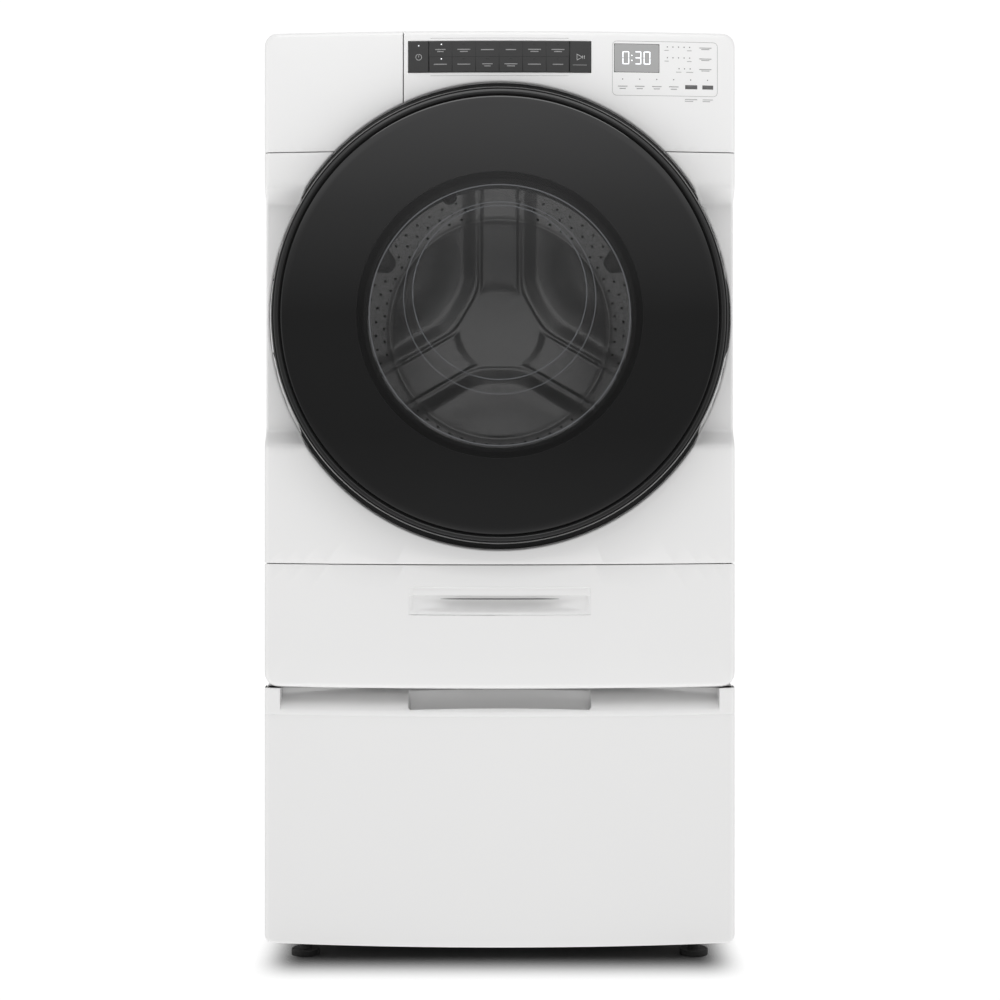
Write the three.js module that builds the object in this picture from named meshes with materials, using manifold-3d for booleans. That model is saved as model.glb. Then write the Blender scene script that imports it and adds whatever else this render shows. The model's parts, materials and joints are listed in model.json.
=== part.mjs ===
// Front load washing machine standing on its matching storage pedestal.
// Millimetres. +Z is up, the front looks towards -Y and the floor is Z = 0.
// The side edges of the front panels lie in the plane Y = 0 before the last shift.
import * as THREE from 'three';
import { mergeVertices } from 'three/addons/utils/BufferGeometryUtils.js';
import Module from 'manifold-3d';

const wasm = await Module();
wasm.setup();

// ---- driving dimensions --------------------------------------------------
const HALF_WIDTH = 343;
const BULGE = 28; // how far the middle of the front stands out in plan
const BULGE_RADIUS = (HALF_WIDTH ** 2 + BULGE ** 2) / (2 * BULGE);
const EDGE_RADIUS = 8; // vertical edge between front and side
const WALL = 2;
const FIT = 0.6; // clearance between touching pieces
const SEAM = 2; // open joint between neighbouring front panels

const PEDESTAL_BOTTOM = 36;
const PEDESTAL_BEAD = 377; // where the drawer front starts to slope back
const PEDESTAL_TOP = 409;
const WASHER_BOTTOM = 409.6;
const LOW_SEAM = 589.5;
const TOP_SEAM = 1187.7;
const CAP_BOTTOM = 1328;
const WASHER_TOP = 1362;
const BOTTOM_CORNER = 19.5;
const TOP_CORNER = 18;
const FOOT_CORNER = 12;

const FRONT_RETURN = 30; // front panels wrap back this far
const SIDE_FRONT = 30.6;
const SIDE_BACK = 690;
const REAR_FACE = 693.6;
const VALVE_END = 708;

const DOOR_Z = 949;
const DISH_RADIUS = 337.5;
const DISH_FLOOR = 5;
const RIM_RADIUS = 328;
const RIM_BACK = -22;
const FACE_RADIUS = 313.3;
const FACE_CENTRE = -84;
const FACE_EDGE = -66;
const BOWL_RADIUS = 188;
const BOWL_END_RADIUS = 140;
const BOWL_END = 110;
const BOWL_RISE = 39; // the deep end of the bowl sits this much higher
const GASKET_HOLE = 205;
const HINGE_X = -320;
const HINGE_Y = 3;
const HINGE_HALF = 38;
const LOCK_X = 256;

const WAIST_INNER = 280;
const WAIST_FLOOR = 26;
const WAIST_HALF = 163;
const WAIST_RAMP = 25 / 26; // rise of the ramp for each millimetre of depth

const DRUM_RADIUS = 270;
const DRUM_FRONT = 150;
const DRUM_BACK = 560;
const DRUM_OPENING = 200;
const TUB_RADIUS = 295;
const TUB_FRONT = 115;
const TUB_SPLIT = 300;
const TUB_BACK = 600;
const SHAFT_RADIUS = 17;

const CONSOLE_SPLIT = -139.4; // seam between dispenser front and console
const STRIP_HALF = 132;
const STRIP_BOTTOM = 1301;
const STRIP_TOP = 1346;
const STRIP_PROUD = 1.2;
const POWER_SPLIT = -102.7;
const START_SPLIT = 101.1;
const DISPLAY = { x0: 166, x1: 231, z0: 1302.5, z1: 1343 };

const PULL_HALF = 132;
const PULL_BOTTOM = 517.5;
const PULL_TOP = 557.5;
const PULL_BACK = 10;
const SERVICE_HINGE = { y: -15, z: 412 }; // line that the lower panel tilts about

const TRAY = { x0: -328, x1: -150, y0: 3, y1: 335, z0: 1262, z1: 1334 };
const DRAWER = { half: 321.4, back: 590, z0: 50, z1: 345 };

const FINE = 48; // sides on visible round pieces
const COARSE = 32; // sides on hidden round pieces
const FAR = 400; // further out than the machine in any direction

const FINISH = {
  whitePaint: ['#eeeeec', 0.35, 0],
  whitePlastic: ['#f0f0ee', 0.4, 0],
  greyPlastic: ['#b9bbbd', 0.5, 0],
  blackPlastic: ['#1b1b1c', 0.45, 0],
  blackGloss: ['#0d0d0e', 0.12, 0],
  tintedFace: ['#1a1a1c', 0.06, 0],
  clearBowl: ['#9aa3a6', 0.05, 0],
  greyRubber: ['#6f7173', 0.8, 0],
  blackRubber: ['#222222', 0.85, 0],
  stainless: ['#b8babc', 0.28, 1],
  galvanised: ['#a4a7aa', 0.45, 1],
  castAluminium: ['#9fa1a3', 0.5, 1],
  springSteel: ['#55585c', 0.35, 1],
  concrete: ['#8d8b86', 0.95, 0],
  boardGreen: ['#1f5a39', 0.55, 0],
};

// ---- solids ----------------------------------------------------------------
function signedVolume(points, triangles) {
  let six = 0;
  for (let i = 0; i < triangles.length; i += 3) {
    const [a, b, c] = [0, 1, 2].map((k) => new THREE.Vector3().fromArray(points, 3 * triangles[i + k]));
    six += a.dot(b.cross(c));
  }
  return six;
}

function solid(geometry) {
  const bare = geometry.clone();
  bare.deleteAttribute('normal');
  bare.deleteAttribute('uv');
  const merged = mergeVertices(bare, 1e-4);
  const points = merged.attributes.position.array;
  const index = merged.index.array;
  const triangles = [];
  for (let i = 0; i < index.length; i += 3) {
    const [a, b, c] = [index[i], index[i + 1], index[i + 2]];
    if (a !== b && b !== c && c !== a) triangles.push(a, b, c);
  }
  if (signedVolume(points, triangles) < 0) triangles.reverse();
  return new wasm.Manifold(new wasm.Mesh({
    numProp: 3,
    vertProperties: new Float32Array(points),
    triVerts: new Uint32Array(triangles),
  }));
}

function box(x0, x1, y0, y1, z0, z1) {
  const geometry = new THREE.BoxGeometry(x1 - x0, y1 - y0, z1 - z0);
  geometry.translate((x0 + x1) / 2, (y0 + y1) / 2, (z0 + z1) / 2);
  return solid(geometry);
}

function extrude(points, depth) {
  const shape = new THREE.Shape(points.map(([a, b]) => new THREE.Vector2(a, b)));
  return new THREE.ExtrudeGeometry(shape, { depth, bevelEnabled: false });
}

// outline in X and Y, raised from z0 to z1
function prismZ(points, z0, z1) {
  return solid(extrude(points, z1 - z0).translate(0, 0, z0));
}

// outline in X and Z, running from y0 to y1
function prismY(points, y0, y1) {
  return solid(extrude(points, y1 - y0).rotateX(Math.PI / 2).translate(0, y1, 0));
}

// outline in Y and Z, running from x0 to x1
function prismX(points, x0, x1) {
  const turn = new THREE.Matrix4().makeBasis(
    new THREE.Vector3(0, 1, 0),
    new THREE.Vector3(0, 0, 1),
    new THREE.Vector3(1, 0, 0),
  );
  return solid(extrude(points, x1 - x0).applyMatrix4(turn).translate(x0, 0, 0));
}

// profile of radius and Y, turned about the line through (x, z) along Y
function turned(profile, sides = FINE, x = 0, z = DOOR_Z) {
  const points = profile.map(([r, y]) => new THREE.Vector2(r, y));
  if (profile[0][0] > 0) points.push(points[0].clone());
  return solid(new THREE.LatheGeometry(points, sides).translate(x, 0, z));
}

function disc(radius, y0, y1, sides = FINE, x = 0, z = DOOR_Z) {
  return turned([[0, y0], [radius, y0], [radius, y1], [0, y1]], sides, x, z);
}

function post(radius, x, y, z0, z1, sides = 24) {
  const geometry = new THREE.CylinderGeometry(radius, radius, z1 - z0, sides);
  return solid(geometry.rotateX(Math.PI / 2).translate(x, y, (z0 + z1) / 2));
}

function arc(cx, cy, radius, from, to, steps = 5) {
  const points = [];
  for (let i = 0; i <= steps; i += 1) {
    const angle = THREE.MathUtils.degToRad(from + ((to - from) * i) / steps);
    points.push([cx + radius * Math.cos(angle), cy + radius * Math.sin(angle)]);
  }
  return points;
}

function roundedRect(x0, x1, z0, z1, bottom, top) {
  return [
    ...arc(x0 + bottom, z0 + bottom, bottom, 180, 270),
    ...arc(x1 - bottom, z0 + bottom, bottom, 270, 360),
    ...arc(x1 - top, z1 - top, top, 0, 90),
    ...arc(x0 + top, z1 - top, top, 90, 180),
  ];
}

// ---- the bowed front -------------------------------------------------------
function frontY(x, inset = 0) {
  return BULGE_RADIUS - BULGE - Math.sqrt((BULGE_RADIUS - inset) ** 2 - x * x);
}

function frontOutline(inset, back) {
  const half = HALF_WIDTH - inset;
  const corner = Math.max(EDGE_RADIUS - inset, 2);
  const flat = half - corner;
  const cornerY = frontY(flat, inset) + corner;
  const points = [[half, back], ...arc(flat, cornerY, corner, 0, -90, 4)];
  const steps = 16;
  for (let i = 1; i < steps; i += 1) {
    const x = flat - (2 * flat * i) / steps;
    points.push([x, frontY(x, inset)]);
  }
  points.push(...arc(-flat, cornerY, corner, -90, -180, 4), [-half, back]);
  return points;
}

function frontBlock(inset, z0, z1, back = FRONT_RETURN) {
  return prismZ(frontOutline(inset, back), z0, z1);
}

function gate(z0, z1, bottom, top, inset = 0) {
  const half = HALF_WIDTH - inset;
  const outline = roundedRect(
    -half, half, z0 + inset, z1 - inset, Math.max(bottom - inset, 1), Math.max(top - inset, 1),
  );
  return prismY(outline, -100, 100);
}

// an open-backed shell of the bowed front between x0 and x1, z0 and z1
function frontShell(x0, x1, z0, z1, outerGate, innerGate) {
  const outer = frontBlock(0, z0, z1).intersect(box(x0, x1, -100, 60, z0, z1)).intersect(outerGate);
  const inner = frontBlock(WALL, z0 + WALL, z1 - WALL, FRONT_RETURN + 1)
    .intersect(box(x0 + WALL, x1 - WALL, -100, 60, z0, z1))
    .intersect(innerGate);
  return outer.subtract(inner);
}

const WASHER_GATE = gate(WASHER_BOTTOM, WASHER_TOP, BOTTOM_CORNER, TOP_CORNER);
const WASHER_GATE_IN = gate(WASHER_BOTTOM, WASHER_TOP, BOTTOM_CORNER, TOP_CORNER, WALL);

// the hollow at both sides of the front, level with the door
function waist(grow) {
  const depth = WAIST_FLOOR + grow;
  const mouth = -60;
  const low = WAIST_HALF + grow;
  const high = low + (depth - mouth) * WAIST_RAMP;
  const outline = [
    [mouth, DOOR_Z - high], [depth, DOOR_Z - low], [depth, DOOR_Z + low], [mouth, DOOR_Z + high],
  ];
  const inner = WAIST_INNER - grow;
  return prismX(outline, inner, FAR).add(prismX(outline, -FAR, -inner));
}

// ---- cabinet ---------------------------------------------------------------
function sidePanel(side) {
  const radius = 14;
  const x = HALF_WIDTH - radius;
  const z = WASHER_BOTTOM + radius;
  const lip = 300;
  const outline = [
    [HALF_WIDTH, CAP_BOTTOM - FIT],
    ...arc(x, z, radius, 0, -90),
    [lip, WASHER_BOTTOM],
    [lip, WASHER_BOTTOM + WALL],
    ...arc(x, z, radius - WALL, -90, 0),
    [HALF_WIDTH - WALL, CAP_BOTTOM - FIT],
  ];
  return prismY(outline.map(([a, b]) => [side * a, b]), SIDE_FRONT, SIDE_BACK);
}

function capOutline(inset) {
  const half = HALF_WIDTH - inset;
  const radius = TOP_CORNER - inset;
  const z = WASHER_TOP - TOP_CORNER;
  return [
    [half, CAP_BOTTOM],
    ...arc(half - radius, z, radius, 0, 90),
    ...arc(-half + radius, z, radius, 90, 180),
    [-half, CAP_BOTTOM],
  ];
}

function topPanel() {
  const cap = prismY(capOutline(0), SIDE_FRONT, REAR_FACE);
  const room = prismY(capOutline(WALL), SIDE_FRONT - 1, SIDE_BACK + FIT);
  const open = box(WALL - HALF_WIDTH, HALF_WIDTH - WALL, 0, SIDE_BACK + FIT, CAP_BOTTOM - 1, CAP_BOTTOM + 1);
  return cap.subtract(room).subtract(open);
}

function rearPanel() {
  const outline = roundedRect(-HALF_WIDTH, HALF_WIDTH, WASHER_BOTTOM, CAP_BOTTOM - FIT, 14, 1);
  return prismY(outline, SIDE_BACK + FIT, REAR_FACE)
    .subtract(disc(160, 600, 800, COARSE))
    .subtract(box(200, 290, 600, 800, 1230, 1270))
    .subtract(disc(12.2, 600, 800, 24, -250, 1250));
}

function basePan() {
  const half = 331;
  const floor = WASHER_BOTTOM + WALL + FIT;
  return box(-half, half, 40, SIDE_BACK - 1, floor, 440)
    .subtract(box(WALL - half, half - WALL, 40 + WALL, SIDE_BACK - 1 - WALL, floor + WALL, 500));
}

function frontPanel() {
  const z0 = LOW_SEAM + SEAM / 2;
  const z1 = TOP_SEAM - SEAM / 2;
  const cut = waist(0);
  const outer = frontBlock(0, z0, z1).subtract(cut).subtract(disc(DISH_RADIUS, -100, DISH_FLOOR));
  const inner = frontBlock(WALL, z0 + WALL, z1 - WALL, FRONT_RETURN + 1)
    .subtract(waist(WALL))
    .subtract(disc(DISH_RADIUS + WALL, -100, DISH_FLOOR + WALL));
  const dish = frontBlock(0, 500, 1400)
    .intersect(disc(DISH_RADIUS + WALL, -100, DISH_FLOOR + WALL))
    .subtract(disc(DISH_RADIUS, -101, DISH_FLOOR))
    .subtract(cut);
  return outer.subtract(inner).add(dish)
    .subtract(disc(GASKET_HOLE, -100, 60))
    .subtract(box(LOCK_X - 9, LOCK_X + 9, 0, 20, DOOR_Z - 14, DOOR_Z + 14));
}

function lowerFrontPanel() {
  const z1 = LOW_SEAM - SEAM / 2;
  const pocket = frontBlock(0, PULL_BOTTOM - WALL, PULL_TOP + WALL)
    .intersect(box(-PULL_HALF - WALL, PULL_HALF + WALL, -100, PULL_BACK + WALL, 0, 1000));
  // the top back corner is bevelled, because it swings upwards when the panel starts to tilt
  const swing = z1 - SERVICE_HINGE.z;
  const clear = SERVICE_HINGE.z + Math.sqrt((swing + 1) ** 2 - (FRONT_RETURN - SERVICE_HINGE.y) ** 2);
  const outline = [[6, z1 + 0.5], [FRONT_RETURN, clear], [60, clear], [60, z1 + 20], [6, z1 + 20]];
  const bevel = prismX(outline, -FAR, FAR);
  return frontShell(-FAR, FAR, WASHER_BOTTOM, z1, WASHER_GATE, WASHER_GATE_IN)
    .add(pocket)
    .subtract(box(-PULL_HALF, PULL_HALF, -100, PULL_BACK, PULL_BOTTOM, PULL_TOP))
    .subtract(bevel);
}

function consolePanel() {
  const x0 = CONSOLE_SPLIT + SEAM / 2;
  const z0 = TOP_SEAM + SEAM / 2;
  const keyHole = box(
    -STRIP_HALF - FIT, STRIP_HALF + FIT, -100, 20, STRIP_BOTTOM - FIT, STRIP_TOP + FIT,
  );
  const displayHole = box(
    DISPLAY.x0 - FIT, DISPLAY.x1 + FIT, -100, 20, DISPLAY.z0 - FIT, DISPLAY.z1 + FIT,
  );
  return frontShell(x0, FAR, z0, WASHER_TOP, WASHER_GATE, WASHER_GATE_IN)
    .subtract(disc(DISH_RADIUS + WALL + 1, -100, 60))
    .subtract(keyHole)
    .subtract(displayHole);
}

// a slice of the bowed front that fills a window in the console
function consoleInsert(x0, x1, z0, z1, proud, depth) {
  return frontBlock(-proud, z0, z1).subtract(frontBlock(depth, z0 - 1, z1 + 1, FRONT_RETURN + 1))
    .intersect(box(x0, x1, -100, 0, z0, z1));
}

function stripPiece(x0, x1) {
  return consoleInsert(x0, x1, STRIP_BOTTOM, STRIP_TOP, STRIP_PROUD, 5);
}

function controlBoard() {
  return box(-128, 245, 9, 12, 1292, 1352);
}

function dispenserHousing() {
  const plate = box(-339, -141.5, 32.6, 35.6, 1192, 1340);
  const shell = box(TRAY.x0 - 5, TRAY.x1 + 5, 34, TRAY.y1 + 9, TRAY.z0 - 5, TRAY.z1 + 5);
  const room = box(TRAY.x0 - 2, TRAY.x1 + 2, 0, TRAY.y1 + 6, TRAY.z0 - 2, TRAY.z1 + 2);
  return plate.add(shell).subtract(room);
}

function waterInletValve() {
  let valve = box(204, 286, 640, 690, 1234, 1266);
  for (const x of [225, 265]) valve = valve.add(disc(13, 689, VALVE_END, 20, x, 1250));
  return valve;
}

function cordGland() {
  return turned([[5, 680], [11.6, 680], [11.6, 694.2], [17, 694.2], [14, 702], [5, 702]], 24, -250, 1250);
}

function rearAccessCover() {
  return turned([[0, 699.6], [150, 699.6], [164, 696.6], [176, 696.6], [176, 694.2], [0, 694.2]], COARSE);
}

function doorLock() {
  return box(LOCK_X - 16, LOCK_X + 18, DISH_FLOOR + WALL + FIT, 40, DOOR_Z - 26, DOOR_Z + 26)
    .subtract(box(LOCK_X - 9, LOCK_X + 9, 0, 22, DOOR_Z - 14, DOOR_Z + 14));
}

function hingeBracket() {
  const lug = (z0, z1) => box(HINGE_X - 7, HINGE_X + 7, HINGE_Y - 7, WAIST_FLOOR - FIT, z0, z1);
  const gap = HINGE_HALF + 1;
  return box(HINGE_X - 12, HINGE_X + 16, 22.4, WAIST_FLOOR - FIT, DOOR_Z - 52, DOOR_Z + 52)
    .add(lug(DOOR_Z + gap, DOOR_Z + gap + 7))
    .add(lug(DOOR_Z - gap - 7, DOOR_Z - gap))
    .add(post(3, HINGE_X, HINGE_Y, DOOR_Z - gap - 2, DOOR_Z + gap + 2));
}

function doorSurround() {
  const wide = 171; // above this height the ring has its full width
  const narrow = 102;
  const keep = (side) => prismY([
    [-FAR, DOOR_Z + side * wide], [-288, DOOR_Z + side * wide], [-313, DOOR_Z + side * narrow],
    [313, DOOR_Z + side * narrow], [288, DOOR_Z + side * wide], [FAR, DOOR_Z + side * wide],
    [FAR, DOOR_Z + side * FAR], [-FAR, DOOR_Z + side * FAR],
  ], -60, 60);
  return disc(DISH_RADIUS - FIT, -19, DISH_FLOOR - FIT)
    .subtract(disc(304, -60, 60))
    .intersect(frontBlock(4, 500, 1400))
    .intersect(keep(1).add(keep(-1)).add(disc(325, -60, 60)))
    .subtract(box(-FAR, -290, -60, 60, DOOR_Z - 55, DOOR_Z + 55));
}

function doorGasket() {
  return turned([
    [199, -3], [204, -3], [204, 14], [224, 26], [224, 36], [210, 44], [224, 52], [224, 62], [212, 72],
    [212, 113], [206.5, 113], [206.5, 70], [218, 60], [218, 53.5], [203, 44], [218, 35], [218, 28],
    [199, 16],
  ], COARSE);
}

function drainPump() {
  return disc(32, 66, 130, 28, 170, 472).add(disc(24, 129, 190, 28, 170, 472));
}

function drainFilterCap() {
  return disc(27, 52, 65.4, 28, 170, 472).add(box(150, 190, 46, 53, 468, 476));
}

// ---- tub, suspension and drum ------------------------------------------------
function tubFront() {
  const bore = TUB_RADIUS - 4;
  return turned([
    [218, TUB_FRONT], [TUB_RADIUS, TUB_FRONT], [TUB_RADIUS, TUB_SPLIT],
    [bore, TUB_SPLIT], [bore, TUB_FRONT + 4], [218, TUB_FRONT + 4],
  ], COARSE);
}

function tubRear() {
  const bore = TUB_RADIUS - 4;
  const split = TUB_SPLIT + FIT;
  return turned([
    [TUB_RADIUS, split], [TUB_RADIUS, TUB_BACK], [46, TUB_BACK], [46, TUB_BACK + 43],
    [32, TUB_BACK + 43], [32, TUB_BACK - 4], [bore, TUB_BACK - 4], [bore, split],
  ], COARSE);
}

function counterweight() {
  return disc(332, 130, 290).subtract(disc(297.5, 100, 300))
    .intersect(box(-134, 134, 100, 300, DOOR_Z + 200, DOOR_Z + 400));
}

function heater() {
  const z = DOOR_Z - 279;
  return disc(5, 200, 550, 12, -30, z).add(disc(5, 200, 550, 12, 30, z))
    .add(box(-30, 30, 200, 208, z - 4, z + 4));
}

function drumBearing() {
  const end = TUB_BACK + 42;
  const start = TUB_BACK - 3.4;
  return turned([[SHAFT_RADIUS + FIT, start], [31.4, start], [31.4, end], [SHAFT_RADIUS + FIT, end]], 28);
}

function motorStator() {
  return turned([[47, TUB_BACK + 2], [115, TUB_BACK + 2], [115, TUB_BACK + 38], [47, TUB_BACK + 38]], 36);
}

function motorRotor() {
  const back = TUB_BACK + 51;
  const bore = SHAFT_RADIUS + FIT;
  return turned([
    [bore, back - 5], [122, back - 5], [122, TUB_BACK + 6], [140, TUB_BACK + 6],
    [140, back], [bore, back],
  ], 36);
}

function suspensionSpring(side) {
  return post(12, side * 215, 430, 1165, WASHER_TOP - WALL - 1.4, 16);
}

function damperCylinder(side) {
  return post(18, side * 150, 360, 417, 590).subtract(post(11, side * 150, 360, 425, 600));
}

function damperRod(side) {
  return post(9, side * 150, 360, 500, 685, 20);
}

function drum() {
  return turned([
    [0, DRUM_BACK - 3], [DRUM_RADIUS - 2.5, DRUM_BACK - 3], [DRUM_RADIUS - 2.5, DRUM_FRONT + 8],
    [DRUM_RADIUS - 8, DRUM_FRONT + 3], [DRUM_OPENING, DRUM_FRONT + 3], [DRUM_OPENING, DRUM_FRONT],
    [DRUM_RADIUS - 6, DRUM_FRONT], [DRUM_RADIUS, DRUM_FRONT + 6], [DRUM_RADIUS, DRUM_BACK],
    [0, DRUM_BACK],
  ], 48);
}

function turnAboutDrum(body, degrees) {
  return body.translate([0, 0, -DOOR_Z]).rotate([0, degrees, 0]).translate([0, 0, DOOR_Z]);
}

function drumSpider() {
  const front = DRUM_BACK + FIT;
  let spider = disc(44, front, DRUM_BACK + 26, 30).add(disc(SHAFT_RADIUS, front, TUB_BACK + 58, 28));
  for (const degrees of [0, 120, 240]) {
    const arm = box(-24, 24, front, DRUM_BACK + 18, DOOR_Z, DOOR_Z + 250);
    spider = spider.add(turnAboutDrum(arm, degrees));
  }
  return spider;
}

function lifter(degrees) {
  const base = DOOR_Z - DRUM_RADIUS + 8;
  const ridge = prismY([
    [-36, base], [36, base], [14, base + 48], [8, base + 54], [-8, base + 54], [-14, base + 48],
  ], DRUM_FRONT + 25, DRUM_BACK - 25);
  return turnAboutDrum(ridge, degrees);
}

// ---- door --------------------------------------------------------------------
function doorRim() {
  const inner = FACE_RADIUS + FIT;
  return turned([
    [RIM_RADIUS, RIM_BACK], [RIM_RADIUS, -52], [325, -59], [320, -62.5], [315, -61.5], [inner, -59],
    [inner, RIM_BACK - 5], [292, RIM_BACK - 5], [292, RIM_BACK],
  ]);
}

function doorFace() {
  const dome = (r) => FACE_CENTRE + (FACE_EDGE - FACE_CENTRE) * (r / FACE_RADIUS) ** 2;
  const radii = [60, 120, 180, 240, 290, FACE_RADIUS];
  const outside = radii.map((r) => [r, dome(r)]);
  const inside = radii.slice().reverse().map((r) => [r, dome(r) + 4]);
  return turned([[0, FACE_CENTRE], ...outside, ...inside, [0, FACE_CENTRE + 4]]);
}

function doorInnerFrame() {
  const back = RIM_BACK + 5;
  return turned([
    [192, -54], [196, -54], [196, back - 4], [282, back - 4], [282, -56], [286, -56], [286, back],
    [192, back],
  ]);
}

function doorBowl() {
  const mouth = -58.5;
  const start = -40;
  const points = [
    [0, BOWL_END - 4], [BOWL_END_RADIUS - 18, BOWL_END - 5], [BOWL_END_RADIUS - 5, BOWL_END - 14],
    [152, 56], [BOWL_RADIUS - 6, start], [BOWL_RADIUS - 3, mouth], [206, mouth], [206, mouth + 4],
    [BOWL_RADIUS + 1, mouth + 4], [BOWL_RADIUS, start], [158, 60], [BOWL_END_RADIUS + 2, BOWL_END - 8],
    [BOWL_END_RADIUS - 12, BOWL_END], [0, BOWL_END],
  ].map(([r, y]) => new THREE.Vector2(r, y));
  const geometry = new THREE.LatheGeometry(points, FINE);
  const place = geometry.attributes.position;
  for (let i = 0; i < place.count; i += 1) {
    const rise = THREE.MathUtils.clamp((place.getY(i) - start) / (BOWL_END - start), 0, 1);
    place.setZ(i, place.getZ(i) + DOOR_Z + BOWL_RISE * rise);
  }
  return solid(geometry);
}

function doorHingeArm() {
  const back = RIM_BACK + 5 + 0.4;
  const knuckle = post(6, HINGE_X, HINGE_Y, DOOR_Z - HINGE_HALF, DOOR_Z + HINGE_HALF);
  return box(-300, -262, back, back + 8, DOOR_Z - 36, DOOR_Z + 36)
    .add(box(HINGE_X - 3, -298, back, HINGE_Y - 1, DOOR_Z - 36, DOOR_Z + 36))
    .add(knuckle)
    .subtract(post(3.5, HINGE_X, HINGE_Y, DOOR_Z - 60, DOOR_Z + 60));
}

function doorLatchHook() {
  const back = RIM_BACK + 5 + 0.4;
  return box(LOCK_X - 14, LOCK_X + 10, back, back + 4, DOOR_Z - 22, DOOR_Z + 22)
    .add(box(LOCK_X - 6, LOCK_X + 5, back, 16, DOOR_Z - 9, DOOR_Z + 9));
}

// ---- dispenser drawer ----------------------------------------------------------
function dispenserTray() {
  let tray = box(TRAY.x0, TRAY.x1, TRAY.y0, TRAY.y1, TRAY.z0, TRAY.z1);
  const count = 3;
  const pitch = (TRAY.x1 - TRAY.x0 - WALL) / count;
  for (let i = 0; i < count; i += 1) {
    const x = TRAY.x0 + WALL + i * pitch;
    tray = tray.subtract(
      box(x, x + pitch - WALL, TRAY.y0 + WALL, TRAY.y1 - WALL, TRAY.z0 + WALL, TRAY.z1 + 1),
    );
  }
  return tray;
}

function dispenserFront() {
  return frontShell(
    -FAR, CONSOLE_SPLIT - SEAM / 2, TOP_SEAM + SEAM / 2, WASHER_TOP, WASHER_GATE, WASHER_GATE_IN,
  ).subtract(disc(DISH_RADIUS + WALL + 1, -100, 60));
}

// ---- pedestal --------------------------------------------------------------------
function pedestalFrame() {
  const outline = (inset) => roundedRect(
    inset - HALF_WIDTH, HALF_WIDTH - inset, PEDESTAL_BOTTOM + inset, PEDESTAL_TOP - inset,
    FOOT_CORNER - inset, 5 - inset,
  );
  return prismY(outline(0), SIDE_FRONT, SIDE_BACK)
    .subtract(prismY(outline(WALL), 0, SIDE_BACK - WALL));
}

function pedestalFoot(x, y) {
  return post(21, x, y, 0, 9, 28).add(post(9, x, y, 8, PEDESTAL_BOTTOM - FIT, 16));
}

function slideOuter(side) {
  const [a, b] = [side * 331, side * 339.4];
  return box(Math.min(a, b), Math.max(a, b), 45, 610, 200, 240);
}

function slideMiddle(side) {
  const [a, b] = [side * 322, side * 330.4];
  return box(Math.min(a, b), Math.max(a, b), 60, 605, 206, 234);
}

function pedestalDrawerBox() {
  const { half, back, z0, z1 } = DRAWER;
  return box(-half, half, SIDE_FRONT, back, z0, z1)
    .subtract(box(WALL - half, half - WALL, SIDE_FRONT + WALL, back - WALL, z0 + WALL, z1 + 1));
}

function pedestalDrawerFront() {
  const top = PEDESTAL_TOP - 4;
  const lean = 50; // how far the slope runs back by the time it reaches the top
  const slope = extrude(frontOutline(0, FRONT_RETURN), top - PEDESTAL_BEAD);
  const place = slope.attributes.position;
  for (let i = 0; i < place.count; i += 1) {
    const up = place.getZ(i) / (top - PEDESTAL_BEAD);
    place.setXYZ(i, place.getX(i), place.getY(i) + lean * up, place.getZ(i) + PEDESTAL_BEAD);
  }
  const cheek = 320;
  const between = box(-cheek, cheek, -100, FRONT_RETURN, 0, 1000);
  const cheeks = frontBlock(0, PEDESTAL_BEAD - 1, top).subtract(box(-cheek, cheek, -100, 100, 0, 1000));
  const pocket = box(-133, 133, -20, 20, 356, 500);
  const pocketWall = box(-136, 136, -60, 23, 353, 500);
  const room = frontBlock(WALL, PEDESTAL_BOTTOM + WALL, PEDESTAL_BEAD - 6, FRONT_RETURN + 1)
    .intersect(gate(PEDESTAL_BOTTOM, 500, FOOT_CORNER, 1, WALL))
    .subtract(pocketWall);
  return frontBlock(0, PEDESTAL_BOTTOM, PEDESTAL_BEAD)
    .intersect(gate(PEDESTAL_BOTTOM, 500, FOOT_CORNER, 1))
    .add(solid(slope).intersect(between))
    .add(cheeks)
    .subtract(room)
    .subtract(pocket);
}

// ---- scene graph -------------------------------------------------------------------
function piece(group, name, body, [color, roughness, metalness]) {
  const data = body.getMesh();
  const geometry = new THREE.BufferGeometry();
  geometry.setAttribute('position', new THREE.BufferAttribute(new Float32Array(data.vertProperties), 3));
  geometry.setIndex(new THREE.BufferAttribute(new Uint32Array(data.triVerts), 1));
  geometry.computeVertexNormals();
  const mesh = new THREE.Mesh(geometry, new THREE.MeshStandardMaterial({ color, roughness, metalness }));
  mesh.name = name;
  group.add(mesh);
}

const SIDES = [['left', -1], ['right', 1]];

const cabinet = new THREE.Group();
for (const [word, side] of SIDES) piece(cabinet, `${word}_side_panel`, sidePanel(side), FINISH.whitePaint);
piece(cabinet, 'top_panel', topPanel(), FINISH.whitePaint);
piece(cabinet, 'rear_panel', rearPanel(), FINISH.galvanised);
piece(cabinet, 'rear_access_cover', rearAccessCover(), FINISH.galvanised);
piece(cabinet, 'base_pan', basePan(), FINISH.galvanised);
piece(cabinet, 'front_panel', frontPanel(), FINISH.whitePaint);
piece(cabinet, 'console_panel', consolePanel(), FINISH.whitePlastic);
piece(cabinet, 'cycle_pad_strip', stripPiece(POWER_SPLIT + 0.3, START_SPLIT - 0.3), FINISH.blackGloss);
piece(
  cabinet, 'display_window',
  consoleInsert(DISPLAY.x0, DISPLAY.x1, DISPLAY.z0, DISPLAY.z1, 0.4, 4), FINISH.greyPlastic,
);
piece(cabinet, 'control_board', controlBoard(), FINISH.boardGreen);
piece(cabinet, 'dispenser_housing', dispenserHousing(), FINISH.greyPlastic);
piece(cabinet, 'water_inlet_valve', waterInletValve(), FINISH.whitePlastic);
piece(cabinet, 'cord_gland', cordGland(), FINISH.blackPlastic);
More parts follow.
